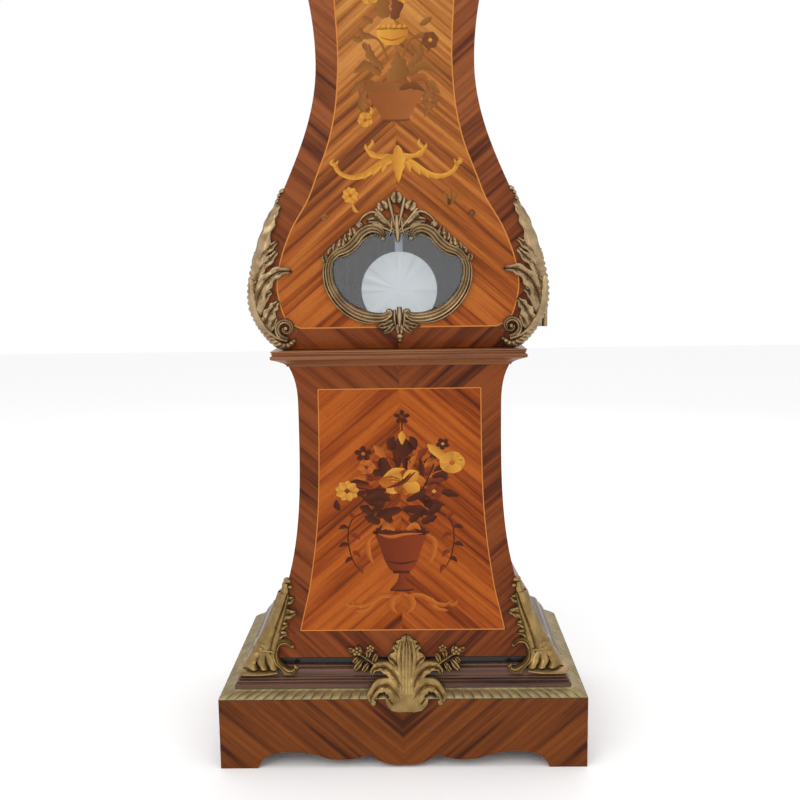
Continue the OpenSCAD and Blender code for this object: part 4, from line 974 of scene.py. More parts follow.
def layTrunkPicture():
    bed = inlayBed("trunkInlay", "door", onTrunk)
    for s in (-1, 1):
        flip = sided(s)
        # Leaf scrolls of the cartouche
        bed.leaf("box", flip((0, 884), (18, 886), (32, 889), (41, 897), (44, 905)),
                 [7, 5, 4.5, 3, 0.3], teeth=3, depth=0.35)
        bed.leaf("box", flip((6, 884), (26, 874), (44, 862), (62, 858), (78, 863), (86, 873),
                             (82, 882)), [6, 5, 4.5, 3.4, 3, 3, 0.5], steps=18)
        bed.leaf("box", flip((84, 874), (92, 879), (88, 884)), [2.5, 3, 0.3])
        for x, z, dx, dz, w in ((22, 874, 12, -14, 4), (34, 868, 12, -13, 3.6),
                                (46, 861, 13, -7, 3.2), (14, 878, 6, -14, 3.4)):
            bed.leaf("box", flip((x, z), (x + dx * 0.6, z + dz * 0.4), (x + dx, z + dz)),
                     [w * 0.6, w, 0.2], 1)
        bed.leaf("box", flip((39, 898), (33, 905), (34, 911)), [2.4, 2.4, 0.2])
        # Faded leaves about the urn
        bed.leaf("faded", flip((20, 1000), (40, 1012), (58, 1002)), [5, 8, 0.3], teeth=3)
        bed.leaf("faded", flip((18, 1006), (34, 1026), (36, 1042)), [5, 7, 0.3], teeth=3)
        bed.leaf("faded", flip((30, 990), (50, 985), (64, 972)), [4, 7, 0.3], teeth=3)
        bed.leaf("faded", flip((40, 985), (48, 960), (40, 940)), [2, 5, 0.3])
        bed.leaf("faded", flip((10, 1020), (22, 1046), (44, 1052), (54, 1044)), [2, 2, 6, 0.3],
                 teeth=3)
        bed.leaf("oldUrn", flip((42, 987), (50, 976), (40, 962), (33, 958)), [2, 2.4, 2.2, 1])
    bed.leaf("box", [(2, 902), (3, 888), (3, 872), (3, 850)], [2.5, 11, 9, 0.3], 2, teeth=4,
             depth=0.25)
    # Urn with its foliage
    bed.leaf("oldUrn", [(0, 990), (0, 980), (0, 962), (0, 946), (0, 937)], [43, 42, 33, 22, 20])
    bed.leaf("faded", [(0, 984), (0, 978)], [44, 44], 1, 3)
    bed.leaf("oldDark", [(-18, 937.5), (0, 936.5), (20, 937.5)], [1, 1.4, 1], 2)
    bed.leaf("faded", [(2, 988), (6, 1008), (2, 1032)], [18, 15, 0.4], teeth=4)
    bed.leaf("oldDark", [(6, 980), (26, 984), (42, 976)], [3, 6, 0.3], 2, teeth=3)
    bed.leaf("oldUrn", [(22, 992), (38, 996), (48, 986)], [3, 5, 0.3], 2)
    bed.flower("faded", 49, 963, 11, 5, "orange", 10, 2, spread=1.1)
    # Tulip, star flowers and the spray above
    bed.leaf("box", [(-3, 1039), (-3, 1049), (-3, 1057), (-3, 1063)], [9, 20, 22, 21], 2)
    for i in range(6):
        x = -21 + 7.2 * i
        bed.leaf("box", [(x, 1060), (x, 1064), (x + 0.5, 1069 - abs(i - 2.5))],
                 [3.7, 3.4, 0.3], 2, 4)
    bed.leaf("orange", [(-20, 1050), (-3, 1046), (15, 1051)], [0.3, 1, 0.3], 4)
    bed.flower("oldDark", 50, 1045, 12, 6, "box", 12, 3)
    bed.leaf("oldDark", [(47, 1030), (48, 1036), (50, 1044)], [0.9, 0.9, 0.9], 2)
    bed.flower("box", -43, 938, 11, 5, "orange", 40, 2)
    bed.leaf("box", [(-36, 944), (-33, 950), (-36, 956)], [2, 2.6, 0.3], 2)
    bed.flower("box", -66, 833, 12, 8, "orange", 8, 2)
    bed.leaf("box", [(-64, 822), (-60, 812), (-54, 809)], [0.8, 2.6, 0.3], 2)
    bed.flower("faded", -103, 803, 5, 5, "oldDark", 0, 2)
    bed.flower("oldDark", 107, 806, 5.5, 5, "faded", 20, 2)
    for dx, dz in ((-10, 10), (0, 14), (9, 8)):
        bed.leaf("faded", [(74, 818), (76 + dx * 0.5, 826), (78 + dx, 828 + dz)],
                 [2, 3.6, 0.3], 1)
    for x, z, dx, dz, wood in ((-45, 1046, -14, 4, "faded"), (-42, 1050, -8, 14, "faded"),
                               (-44, 1043, 6, -12, "faded"), (36, 1066, 16, 10, "faded"),
                               (-30, 1070, -14, 8, "faded"), (24, 1040, 10, -14, "faded")):
        bed.leaf(wood, [(x, z), (x + dx * 0.6, z + dz * 0.5), (x + dx, z + dz)],
                 [2.5, 5, 0.3], 1, teeth=2)
    bed.flower("box", -34, 1108, 15, 5, "orange", 90, 2)
    bed.flower("box", 14, 1110, 16, 6, "oldUrn", 10, 2)
    bed.leaf("faded", [(-12, 1076), (-16, 1094), (-10, 1110)], [8, 12, 0.3], 1, teeth=3)
    bed.leaf("oldDark", [(-2, 1074), (4, 1090), (-2, 1104)], [5, 10, 0.3], 2, teeth=3)
    # Stems and blooms higher up the door
    bed.leaf("oldDark", [(0, 1100), (-6, 1140), (2, 1180), (-2, 1226)], [1.2, 1, 0.9, 0.3])
    for x, z, r, wood, heart in ((-2, 1150, 18, "orange", "box"), (-34, 1164, 11, "box", "oldDark"),
                                 (32, 1158, 12, "box", "oldDark"), (2, 1200, 13, "box", "orange"),
                                 (-24, 1196, 7, "orange", "oldDark"),
                                 (24, 1204, 7, "orange", "oldDark")):
        bed.flower(wood, x, z, r, 6, heart, x, 2)
    for s in (-1, 1):
        for x, z, dx, dz in ((8, 1126, 26, 4), (8, 1136, 22, 16), (4, 1176, 20, 6),
                             (6, 1214, 16, 12), (2, 1222, 6, 22)):
            bed.leaf("oldDark" if z % 4 else "faded",
                     [(s * x, z), (s * (x + dx * 0.5), z + dz * 0.6),
                      (s * (x + dx), z + dz)], [2, 4.5, 0.3], 1, teeth=3)
    bed.lay()


def layPedestalPicture():
    bed = inlayBed("pedestalInlay", "case",
                   lambda x, z, h: onPedestal(3 + (x - 3) * 1.14, z, h))
    # Foliage that fills the bouquet
    chance = random.Random(11)
    for i in range(34):
        turn = math.radians(-50 + 280 * i / 33)
        start, reach = 20 + 22 * chance.random(), 17 + 12 * chance.random()
        c, s = math.cos(turn), math.sin(turn)
        wood = ("dark", "urn", "orange")[i % 3] if s > -0.2 else "dark"
        bend = chance.uniform(-0.5, 0.5)
        bed.leaf(wood, [(3 + c * start * 1.1, 410 + s * start),
                        (3 + c * (start + reach * 0.5) * 1.1 - s * reach * bend * 0.3,
                         410 + s * (start + reach * 0.5) + c * reach * bend * 0.3),
                        (3 + c * (start + reach) * 1.1, 410 + s * (start + reach))],
                 [1.5, 4.5 + 3 * chance.random(), 0.4], 1, 10, teeth=3, depth=0.2)
    # Urn on its foot, with leaf scrolls below
    bed.leaf("urn", [(0, 340), (0, 330), (0, 312), (0, 294), (0, 280), (0, 276)],
             [35, 33, 27, 22, 15, 9], 1, 14)
    bed.leaf("dark", [(0, 338), (0, 334)], [37, 37], 2, 3)
    bed.leaf("dark", [(-20, 293), (0, 289), (20, 293)], [0.4, 1.6, 0.4], 3)
    bed.leaf("orange", [(-30, 334), (-14, 329), (6, 333), (28, 334)], [0.4, 2.4, 2, 0.4], 3)
    bed.leaf("dark", [(0, 278), (0, 274)], [11, 11], 3, 3)
    bed.leaf("urn", [(0, 274), (0, 262), (0, 250)], [3, 6, 15], 1)
    bed.leaf("dark", [(-15, 249), (0, 248), (16, 249)], [1, 1.3, 1], 2)
    for s in (-1, 1):
        flip = sided(s)
        bed.leaf("orange", flip((2, 242), (12, 236), (14, 224), (6, 214)), [2, 4.5, 4, 0.4], 1)
        bed.leaf("orange", flip((8, 240), (26, 240), (44, 229), (58, 226), (66, 233)),
                 [2, 5, 4, 3, 0.4], 1, teeth=4)
        bed.leaf("orange", flip((34, 232), (48, 220), (62, 218)), [2, 4, 0.4], 1, teeth=2)
        bed.leaf("orange", flip((60, 228), (70, 226), (74, 234)), [1.6, 2.4, 0.3], 1)
        bed.leaf("orange", flip((34, 332), (44, 322), (42, 300), (36, 288)), [1, 3.5, 3, 0.3], 0)
        # Trailing sprigs with berries
        bed.leaf("dark", flip((40, 372), (64, 356), (70, 330), (66, 300), (58, 282)),
                 [1, 0.9, 0.8, 0.8, 0.4], 1, 16)
        for i, (x, z, dx, dz) in enumerate(((60, 358, 10, 8), (70, 344, 12, -2),
                                            (66, 332, -12, -6), (70, 318, 12, -4),
                                            (64, 306, -10, -8), (64, 296, 10, -6),
                                            (58, 284, -7, -10))):
            bed.leaf("dark" if i % 2 else "urn",
                     flip((x, z), (x + dx * 0.5, z + dz * 0.3 + 2), (x + dx, z + dz)),
                     [1.4, 3.2, 0.3], 2)
        for x, z, dx, dz in ((28, 350, 20, 10), (20, 346, 14, -12), (36, 362, 18, 14),
                             (12, 352, 22, 18)):
            bed.leaf("dark", flip((x, z), (x + dx * 0.55, z + dz * 0.7), (x + dx, z + dz)),
                     [4, 7.5, 0.4], 2, teeth=3)
        bed.leaf("orange", flip((8, 340), (18, 346), (26, 340)), [2, 5, 0.5], 4)
    # Peony
    for turn, reach, wood in ((-80, 24, "orange"), (-40, 27, "box"), (0, 29, "orange"),
                              (38, 25, "box"), (140, 24, "box"), (182, 30, "orange"),
                              (222, 27, "box"), (262, 22, "orange")):
        a = math.radians(turn)
        c, s = math.cos(a), math.sin(a)
        bed.leaf(wood, [(3 + c * reach * f, 414 + s * reach * 0.85 * f)
                        for f in (0.1, 0.5, 0.85, 1.05)], [4, 9.5, 8, 0.6], 3 + turn % 3 * 0.4)
    bed.leaf("urn", [(-18, 404), (2, 412), (20, 428)], [0.5, 3.4, 0.5], 6)
    bed.leaf("dark", [(-13, 405), (3, 414), (14, 427)], [0.4, 1.6, 0.4], 7, teeth=5)
    bed.leaf("box", [(-22, 421), (-8, 429), (6, 433)], [0.5, 5, 0.5], 6)
    # Dark tulip and tip star
    bed.leaf("dark", [(3, 448), (3, 462), (3, 478)], [0.6, 15, 6], 4)
    bed.leaf("dark", [(-9, 462), (-11, 474), (-7, 482)], [6, 6, 0.4], 4)
    bed.leaf("dark", [(15, 462), (17, 474), (13, 482)], [6, 6, 0.4], 4)
    bed.leaf("box", [(3, 470), (3, 482), (3, 490)], [1, 5, 0.4], 5)
    bed.flower("dark", 3, 511, 11, 5, "urn", 90, 2, spread=0.45)
    bed.leaf("dark", [(3, 482), (3, 498), (3, 508)], [0.8, 0.8, 0.8], 1)
    # Daisy, iris and stars
    bed.flower("box", -70, 400, 16, 9, "urn", 4, 3)
    bed.flower("box", 68, 442, 17, 5, "orange", 60, 2, spread=1.1)
    bed.leaf("box", [(60, 446), (44, 462), (36, 470)], [5, 6, 0.5], 2)
    bed.flower("dark", -48, 456, 12, 5, "orange", 20, 2, spread=0.5)
    bed.flower("orange", -44, 436, 12, 6, "urn", 0, 2)
    bed.flower("dark", 56, 470, 9, 5, "box", 50, 3, spread=0.6)
    bed.flower("urn", 44, 398, 12, 6, "box", 15, 2)
    for points, widths in (
            (((-60, 406), (-36, 400), (-14, 392)), [0.8, 0.9, 0.8]),
            (((-40, 384), (-28, 392), (-12, 384)), [3, 8, 0.5]),
            (((-52, 392), (-38, 384), (-22, 376)), [0.5, 7, 3]),
            (((-24, 450), (-20, 436), (-22, 422)), [4, 9, 3]),
            (((26, 450), (28, 434), (30, 416)), [0.6, 4, 0.6]),
            (((12, 388), (30, 404), (44, 440)), [1, 1, 0.8]),
            (((8, 384), (26, 392), (52, 396)), [3, 6, 0.5]),
            (((-84, 386), (-84, 378), (-80, 370)), [1, 5, 0.4]),
            (((42, 420), (56, 424), (60, 414)), [3, 6, 0.5]),
            (((0, 372), (-16, 366), (-34, 360)), [4, 8, 0.5]),
            (((4, 372), (22, 370), (44, 362)), [4, 8, 0.5])):
        bed.leaf("dark", list(points), widths, 2, 12, teeth=0 if max(widths) < 2 else 3,
                 depth=0.18)
    bed.lay()


layTrunkPicture()
layPedestalPicture()
print("marquetry laid")

# Mouldings


def arc(x, z, radiusX, radiusZ, start, end, count=8):
    # Stretch of an ellipse for a moulding's profile, in degrees from the outward side
    turns = [math.radians(start + (end - start) * i / count) for i in range(count + 1)]
    return [(x + radiusX * math.cos(a), z + radiusZ * math.sin(a)) for a in turns]


def runMoulding(name, profile, half, front, z0, wall, material, replaced, shape=None,
                spacing=None, angle=30):
    # Closed mitred moulding round the left side, front and right side
    loop = list(profile) + [(-wall, profile[-1][1]), (-wall, profile[0][1])]
    if spacing:
        across, deep = round(2 * half / spacing), round((back - front) / spacing)
    else:
        across, deep = 1, 1
    columns = 2 * deep + across

    def place(a, b):
        i = round(a * columns)
        row = round(b * len(loop)) % len(loop)
        out, rise = loop[row]
        if shape and row < len(profile):
            out, rise = shape(out, rise, row / (len(profile) - 1), i)
        if i <= deep:
            y = back + (front - out - back) * i / deep
            x = -half - out
        elif i < deep + across:
            t = (i - deep) / across
            x, y = (half + out) * (2 * t - 1), front - out
        else:
            y = front - out + (back - front + out) * (i - deep - across) / deep
            x = half + out
        return (x * mm, y * mm, (z0 + rise) * mm)

    piece = formSheet(name, columns, len(loop), place)
    bpy.ops.object.mode_set(mode="EDIT")
    bpy.ops.mesh.select_all(action="SELECT")
    bpy.ops.mesh.remove_doubles(threshold=1e-6)
    bpy.ops.mesh.select_all(action="DESELECT")
    bpy.ops.mesh.select_non_manifold(extend=False)
    bpy.ops.mesh.edge_face_add()
    bpy.ops.mesh.select_all(action="SELECT")
    bpy.ops.mesh.normals_make_consistent(inside=False)
    bpy.ops.object.mode_set(mode="OBJECT")
    return finishPiece(piece, "case", material, replaced, angle)


mouldings = {"stepLip": 6, "stepIn": 44, "ring": 44, "waistNose": 22, "eggSpacing": 2.0,
             "bandWall": 44, "waistWall": 18, "hoodBaseWall": 13, "shoulderIn": 62,
             "shoulderRise": 0.42, "coveIn": 32, "capLap": 2}
borderIn, borderRise = 20, 9


def stepProfile():
    lip, top = mouldings["stepLip"], stepTop - plinthTop
    out = -borderIn - 1
    points = [(out, 0), (out, borderRise + lip - 1.2), (out - 0.5, borderRise + lip - 0.3),
              (out - 1.2, borderRise + lip)]
    points += [(out - 2.6, borderRise + lip), (out - 2.6, borderRise + lip + 1.2)]
    # Two reeds, a hollow and a long ogee
    points += arc(out - 5, borderRise + lip + 2.8, 2.4, 1.6, -60, 80, 6)
    points += arc(out - 8.4, borderRise + lip + 6.2, 2.6, 2.0, -50, 80, 6)
    points += [(out - 9, borderRise + lip + 9)]
    points += arc(-43.2, top - 10.2, 12.5, 9.0, 12, 78, 8)
    points += [(-41.6, top - 0.9), (-42.4, top)]
    return points


runMoulding("stepMouldingRun", stepProfile(), plinthHalf, plinthFront, plinthTop,
            mouldings["stepIn"] + mouldings["ring"], walnut,
            ["step_moulding"])
filletHalf = box("ebonised_fillet")[1][0]
filletFront = box("ebonised_fillet")[0][1]
runMoulding("nearBlackBandRun", [(0, 0), (0, 9.2), (-0.8, 10)], filletHalf, filletFront, stepTop,
            mouldings["bandWall"], blackBand, ["ebonised_fillet"])


def waistProfile():
    nose = mouldings["waistNose"]
    points = [(0, 0), (0.6, 0)]
    points += [((nose - 5) * (1 - math.cos(math.radians(11.25 * i))) + 0.6, 0.4 + 10.2 * i / 8)
               for i in range(9)]
    points += [(nose - 3.4, 11)]
    points += arc(nose - 3, 14.2, 3, 3.2, -80, 80, 10)
    points += [(nose - 3, 17.6), (nose - 3.4, 18.4)] + arc(nose - 3.2, 20.2, 1.2, 1.4, -70, 70, 5)
    points += [(nose - 2.6, 21.6), (nose - 1, 22.2), (nose - 1, 23.4), (nose - 1.6, 24)]
    return points


waistHalf = trunkShape["foot"] - 4
waistBase = pedestalFront(pedestalTop) - 2
runMoulding("waistMouldingRun", waistProfile(), waistHalf, waistBase, pedestalTop,
            mouldings["waistWall"], waistWood, ["waist_moulding"])


def hoodBaseProfile():
    points = [(0, 0)] + [(14 * (1 - math.cos(math.radians(11.25 * i))), 14 * i / 8)
                         for i in range(9)]
    points += [(15, 14.2)] + arc(14.4, 17.4, 2.6, 2.8, -80, 80, 8) + [(14, 20.6)]
    points += arc(11.4, 24.6, 3, 3.0, -75, 85, 8) + [(11, 28)]
    return points


runMoulding("hoodBaseRun", hoodBaseProfile(), trunkShape["top"],
            trunkFront(trunkTop) - 8, trunkTop, mouldings["hoodBaseWall"], walnut,
            ["hood_base_moulding"])


def bellProfile():
    rise = bellTop - hoodTop
    shoulderIn, coveIn = mouldings["shoulderIn"], mouldings["coveIn"]
    shoulder = rise * mouldings["shoulderRise"]
    cove = rise - shoulder - 42
    points = [(0, 0), (0, 5)] + arc(1, 9, 7, 3.6, -80, 0, 5) + [(12, 9.2), (12, 12)]
    points += arc(9, 15.4, 3, 3.4, -70, 70, 6) + [(9, 19.2), (6, 22)]
    points += [(-shoulderIn * (1 - math.cos(a)), 24 + shoulder * math.sin(a))
               for a in [math.pi / 36 * i for i in range(19)]]
    points += [(-shoulderIn - coveIn * math.sin(a), 24 + shoulder + cove * (1 - math.cos(a)))
               for a in [math.pi / 24 * i for i in range(1, 13)]]
    points += arc(-shoulderIn - coveIn + 1, rise - 14, 5, 4, -80, 80, 6)
    points += [(-shoulderIn - coveIn, rise - 8), (-shoulderIn - coveIn, rise - 0.8)]
    return points


hoodTopHalf = hoodShape["top"]
capIn = mouldings["shoulderIn"] + mouldings["coveIn"]
runMoulding("bellTopRun", bellProfile(), hoodTopHalf, hoodFace, hoodTop,
            capIn + mouldings["capLap"], walnut, ["hood_top"])


def closeBellTop():
    half = hoodTopHalf - capIn
    cap = blockPiece("bellTopCap", ((-half, half), (hoodFace + capIn, back - 0.4),
                                    (hoodTop + 0.4, bellTop - 0.3)))
    finishPiece(cap, "case", walnut)


closeBellTop()
print("mouldings run")

# Bronze border


def eggPattern(out, rise, across, i):
    # Leaf tongues pressed into the sloping strip, with a waved lower edge
    phase = (i % 7) / 7 * 2 * math.pi
    tongue = abs(math.sin(phase / 2))
    dip = 0.9 * (1 - tongue) * math.sin(math.pi * min(1, across * 1.1))
    vein = 0.35 * math.cos(3 * phase) * math.sin(math.pi * across)
    return out - (dip + vein) * 0.4, rise - dip - vein


def makeBorder():
    profile = [(0, 0), (0, 1.0), (-0.3, 2.0), (-1.6, 2.4), (-2.4, 3.1), (-5, 4.3), (-8, 5.6),
               (-11, 6.6), (-14, 7.5), (-16.6, 8.2), (-17.4, 8.9), (-20, 9)]
    piece = runMoulding("borderRun", profile, plinthHalf, plinthFront, plinthTop, 21,
                        borderBronze, ["plinth_bronze_border"], eggPattern,
                        mouldings["eggSpacing"], 60)

    # Relief from height above the strip's sloping face, for painted shade in the pressed hollows of
    # the border
    def relief(x, y, z):
        out = max(abs(x) - plinthHalf, plinthFront - y)
        level = plinthTop + between([(-20, 9), (-8, 5.6), (0, 2)], out)
        return min(1, max(0, 0.9 + (z - level) * 0.55))

    writePoints(piece, "relief", [relief(*(v.co / mm)) for v in piece.data.vertices])


makeBorder()
print("border laid")

# Cast mounts


def leafRelief(height, lobes):
    # Hollowed acanthus leaf: raised edges, side veins and a grooved midrib
    def relief(v, t):
        body = 0.62 + 0.3 * (1 - abs(v) ** 2.4) - 0.2 * math.exp(-((abs(v) - 0.45) / 0.22) ** 2)
        veins = 0.07 * math.cos(2 * math.pi * (lobes * t - 0.8 * abs(v)))
        rib = 0.12 * math.exp(-((abs(v) - 0.16) / 0.08) ** 2) - 0.2 * math.exp(-(v / 0.07) ** 2)
        fade = min(1, 0.4 + 3 * (1 - t)) * min(1, 0.6 + 4 * t)
        return height * max(0.15, body + veins + rib) * fade
    return relief


def reedRelief(height, reeds):
    def relief(v, t):
        swell = math.sqrt(max(0, 1 - v * v))
        reed = abs(math.sin(math.pi * reeds * (v + 1) / 2))
        return height * (0.16 + 0.5 * swell + 0.34 * reed)
    return relief


def roundRelief(height, beads=0):
    def relief(v, t):
        bump = 0.72 + 0.28 * abs(math.sin(math.pi * beads * t)) if beads else 1
        return height * (0.12 + 0.88 * math.sqrt(max(0, 1 - v * v)) * bump)
    return relief


class castMount:
    # Gathers the leaves, scrolls and beads of one mount, then sets it on the case
    def __init__(self, name, body, finish, replaced=()):
        self.name, self.body, self.finish, self.replaced = name, body, finish, replaced
        self.strips = []
        self.set = []

    def leaf(self, points, widths, height, lobes=4, depth=0.34, lean=0.12):
        def width(t, v):
            notch = abs(math.cos(math.pi * lobes * t)) ** 2.2
            return alongPoints(widths, t)[0] * (1 - depth * notch)
        ribbon(points, width, leafRelief(height, lobes), max(14, lobes * 8), 12, 0.8, lean,
               self.strips)

    def scroll(self, points, widths, height, reeds=3, steps=26):
        ribbon(points, widths, reedRelief(height, reeds), steps, max(6, reeds * 4), 0.8, 0,
               self.strips)

    def rod(self, points, widths, height, beads=0, steps=20):
        ribbon(points, widths, roundRelief(height, beads), max(steps, beads * 4), 8, 0.8, 0,
               self.strips)

    def volute(self, x, z, start, turn, outer, inner, widths, height, reeds=2):
        # Spiral from angle start through turn degrees, its radius closing from outer to inner
        count = max(6, round(abs(turn) / 30))
        points = []
        for i in range(count + 1):
            a = math.radians(start + turn * i / count)
            r = outer + (inner - outer) * (i / count) ** 0.8
            points.append((x + r * math.cos(a), z + r * math.sin(a)))
        self.scroll(points, widths, height, reeds, count * 4)

    def bead(self, x, z, radius, lift=0, squeeze=1.0):
        bpy.ops.object.select_all(action="DESELECT")
        bpy.ops.mesh.primitive_uv_sphere_add(segments=14, ring_count=8, radius=radius)
        bead = bpy.context.object
        for vertex in bead.data.vertices:
            vertex.co = (x + vertex.co.x, z + vertex.co.y, lift + vertex.co.z * squeeze)
        # Relief 0.35 at the base rising to 1 at the top, for painted shade round the foot of each
        # bead
        writePoints(bead, "relief", [min(1, max(0, 0.35 + 0.65 * (v.co.z - lift) / radius))
                                     for v in bead.data.vertices])
        self.strips.append(bead)

    def place(self, surface):
        piece = joinPieces(self.strips, self.name, 0.002)
        self.set.append(bendOnto(piece, surface))
        self.strips = []

    def finishSet(self):
        piece = joinPieces(self.set, self.name, 0)
        return finishPiece(piece, self.body, self.finish, self.replaced, 50)


cornerRadius = 3


def onCorner(half, front, side):
    # x runs over the front and round the corner to the side; h stands off the surface
    def surface(x, z, h):
        edge, face, r = half(z), front(z), cornerRadius
        q = r * math.pi / 4
        s = x - edge
        if s < -q:
            spot = (edge - r + s + q, face - h)
        elif s > q:
            spot = (edge + h, face + r + s - q)
        else:
            a = (s + q) / (2 * q) * math.pi / 2
            spot = (edge - r + (r + h) * math.sin(a), face + r - (r + h) * math.cos(a))
        return side * spot[0], spot[1], z
    return surface


def roundBack(points, half, share):
    # The same leaf seen on the side, past the corner
    return [(2 * half(z) - x - (half(z) - x) * (1 - share), z) for x, z in points]


def makeTrunkMounts():
    mount = castMount("trunkCornerMounts", "door", mountBronze, ["trunk_mounts"])
    leaves = [
        ([(203, 720), (199, 748), (188, 782), (177, 806), (168, 822)], [11, 12, 9, 6, 3], 9, 5),
        ([(206, 712), (196, 732), (183, 744), (171, 757)], [8, 8, 6, 1.5], 8, 3),
        ([(202, 738), (193, 752), (181, 762), (171, 770)], [7, 7, 5, 1.2], 8, 3),
        ([(208, 664), (201, 690), (190, 712), (172, 726), (152, 727)], [13, 13, 11, 7, 1.5], 11, 4),
        ([(200, 676), (190, 692), (181, 699)], [6, 6, 1.2], 8, 2),
        ([(199, 640), (190, 658), (181, 674), (172, 685)], [12, 11, 7, 1.5], 9, 4),
        ([(190, 640), (182, 652), (176, 662)], [6, 6, 1.2], 8, 2),
    ]
    for side in (-1, 1):
        for points, widths, height, lobes in leaves:
            mount.leaf(points, widths, height, lobes)
            mount.leaf(roundBack(points, trunkHalf, 0.62), [w * 0.7 for w in widths],
                       height * 0.4, lobes)
        # Gadrooned outer edge, running down into the volute
        mount.rod([(204, 756), (211, 738), (213, 712), (213, 686), (208, 660), (197, 641),
                   (182, 626), (164, 619), (150, 628)], [2.5, 4, 5.5, 6.5, 7, 7, 7, 6, 3.5], 11,
                  beads=24, steps=96)
        mount.scroll([(206, 716), (207, 690), (202, 664), (191, 645), (177, 632), (163, 627)],
                     [1.5, 3, 3.5, 3.5, 3, 2.5], 11, 1)
        mount.volute(163, 645, -95, 470, 16.5, 3.5, [5.5, 5, 4.5, 4, 3, 2.6, 3], 9)
        mount.bead(163.5, 645, 3.4, 5)
        mount.leaf([(200, 716), (206, 704), (204, 694)], [2, 5, 0.6], 10, 2)
        # Buds at the top
        for x, z, r in ((169, 836, 4.4), (163.5, 841, 3.6), (177, 828, 4.6), (185, 825, 3.6),
                        (171, 827, 3.6)):
            mount.bead(x, z, r, 3)
        mount.rod([(186, 806), (178, 818), (170, 832)], [3, 2.4, 1.6], 6)
        mount.place(onCorner(trunkHalf, trunkFront, side))
    mount.finishSet()


def makeWindowFrame():
    mount = castMount("windowFrame", "door", mountBronze, ["lenticle_frame"])
    for s in (-1, 1):
        flip = sided(s)
        # Lower scroll from the foot to the shoulder
        mount.scroll(flip((10, 666), (22, 659), (44, 660), (66, 669), (84, 685), (96, 706),
                          (99, 728), (94, 744), (84, 753)),
                     [4.5, 7, 8, 7.5, 7, 6.5, 6, 5.5, 4], 9, 3, 44)
        mount.volute(s * 14, 666, -90, -s * 270, 5.5, 1.5, [4, 3.5, 3, 2], 8, 1)
        mount.rod(flip((12, 655), (44, 651.5), (70, 661), (90, 679), (103, 702), (106, 726),
                       (101, 744)), [1, 1.8, 1.8, 1.8, 1.8, 1.8, 1], 6.5, 0, 36)
        # Upper scroll, moulded in three reeds, curling down beside the tongue
        mount.scroll(flip((97, 741), (86, 752), (72, 758), (61, 767), (50, 780), (36, 786),
                          (24, 782), (19, 773)), [5, 6.5, 7.5, 8, 8, 7.5, 6, 3.4], 10, 3, 40)
        mount.rod(flip((84, 745), (70, 750), (58, 759), (48, 770), (36, 776), (27, 774)),
                  [1, 1.6, 1.6, 1.6, 1.6, 1], 7, 0, 28)
        mount.bead(s * 20, 771.5, 3.6, 5)
        # Leaf sprays along the shoulder
        for x, z, dx, dz, w in ((98, 748, -6, 12, 5), (90, 754, -3, 12, 5),
                                (80, 760, -1, 13, 5.5), (70, 767, 2, 13, 5.5),
                                (62, 775, 3, 13, 5.5), (103, 738, 2, 12, 4.5)):
            mount.leaf(flip((x, z), (x + dx * 0.6, z + dz * 0.6), (x + dx, z + dz)),
                       [w * 0.8, w, 0.8], 8, 2)
        mount.bead(s * 54, 790, 4.2, 4)
        mount.bead(s * 83, 763, 2.8, 5)
        mount.bead(s * 67, 778, 2.8, 5)
        mount.volute(s * 52, 790, 90 - s * 90, s * 200, 5, 2, [3.5, 3, 2], 8, 1)
        # Ears of the crest
        mount.rod(flip((22, 804), (34, 809), (46, 804), (55, 793)), [2, 2.6, 2.4, 1.6], 8)
        mount.leaf(flip((14, 788), (28, 797), (44, 796)), [7, 6, 1.5], 9, 2)
        # Lower leaf sprays
        mount.leaf(flip((6, 654), (18, 648), (32, 646)), [5, 4.5, 0.8], 7, 3)
        mount.leaf(flip((5, 650), (14, 640), (22, 637)), [4, 4, 0.8], 6, 2)
    # Shell of the crest, pierced between its ribs
    for turn, reach, w in ((-66, 38, 6), (-40, 46, 8), (-13, 52, 7), (13, 52, 7), (40, 46, 8),
                           (66, 38, 6)):
        a = math.radians(90 - turn)
        c, s = math.cos(a), math.sin(a)
        mount.rod([(c * f * reach, 778 + s * f * reach) for f in (0.1, 0.45, 0.8, 1)],
                  [2, 2.6, 3.4, 2.6], 8)
    for turn, reach in ((-52, 43), (-27, 52), (0, 60), (27, 52), (52, 43)):
        a = math.radians(90 - turn)
        c, s = math.cos(a), math.sin(a)
        mount.leaf([(c * f * reach, 778 + s * f * reach) for f in (0.7, 0.84, 1.0)],
                   [6.5, 8.5, 2.5], 8.5, 2, 0.2)
        mount.leaf([(c * f * reach, 778 + s * f * reach) for f in (0.05, 0.3, 0.48)],
                   [3, 6, 3.5], 7, 1, 0.1)
    mount.rod([(0, 804), (0, 790), (1, 776), (1, 767)], [3, 4.2, 4.2, 2.2], 11)
    for s in (-1, 1):
        mount.rod([(s * 7, 796), (s * 8, 784), (s * 11, 776)], [2.4, 2.6, 1.6], 8)
    # Tongue, leaves and drop at the foot
    mount.rod([(2, 674), (2, 660), (2, 646)], [3.4, 4.4, 2.6], 10)
    mount.rod([(-5, 670), (-5, 656), (-3, 646)], [2, 2.4, 1.4], 7)
    mount.rod([(9, 670), (9, 656), (7, 646)], [2, 2.4, 1.4], 7)
    mount.leaf([(2, 650), (2, 642), (2, 634)], [5, 6, 1.5], 7, 2)
    mount.bead(2, 631, 5, 2.5)
    mount.bead(2, 625.5, 3.4, 2)
    mount.place(onTrunk)
    mount.finishSet()


# Height, half width and front of the steps that the sabots lap over
stepLevels = [(112, 262, -160), (121, 247, -145), (131, 241, -139.5), (141, 228, -126),
              (151, 222, -120)]
sabotFit = {"toe": 131, "settled": 137, "squash": 0.82, "past": 0.8}


def sabotHalf(z):
    if z >= pedestalFoot:
        return pedestalHalf(z)
    return between([(level, half) for level, half, face in stepLevels], z)


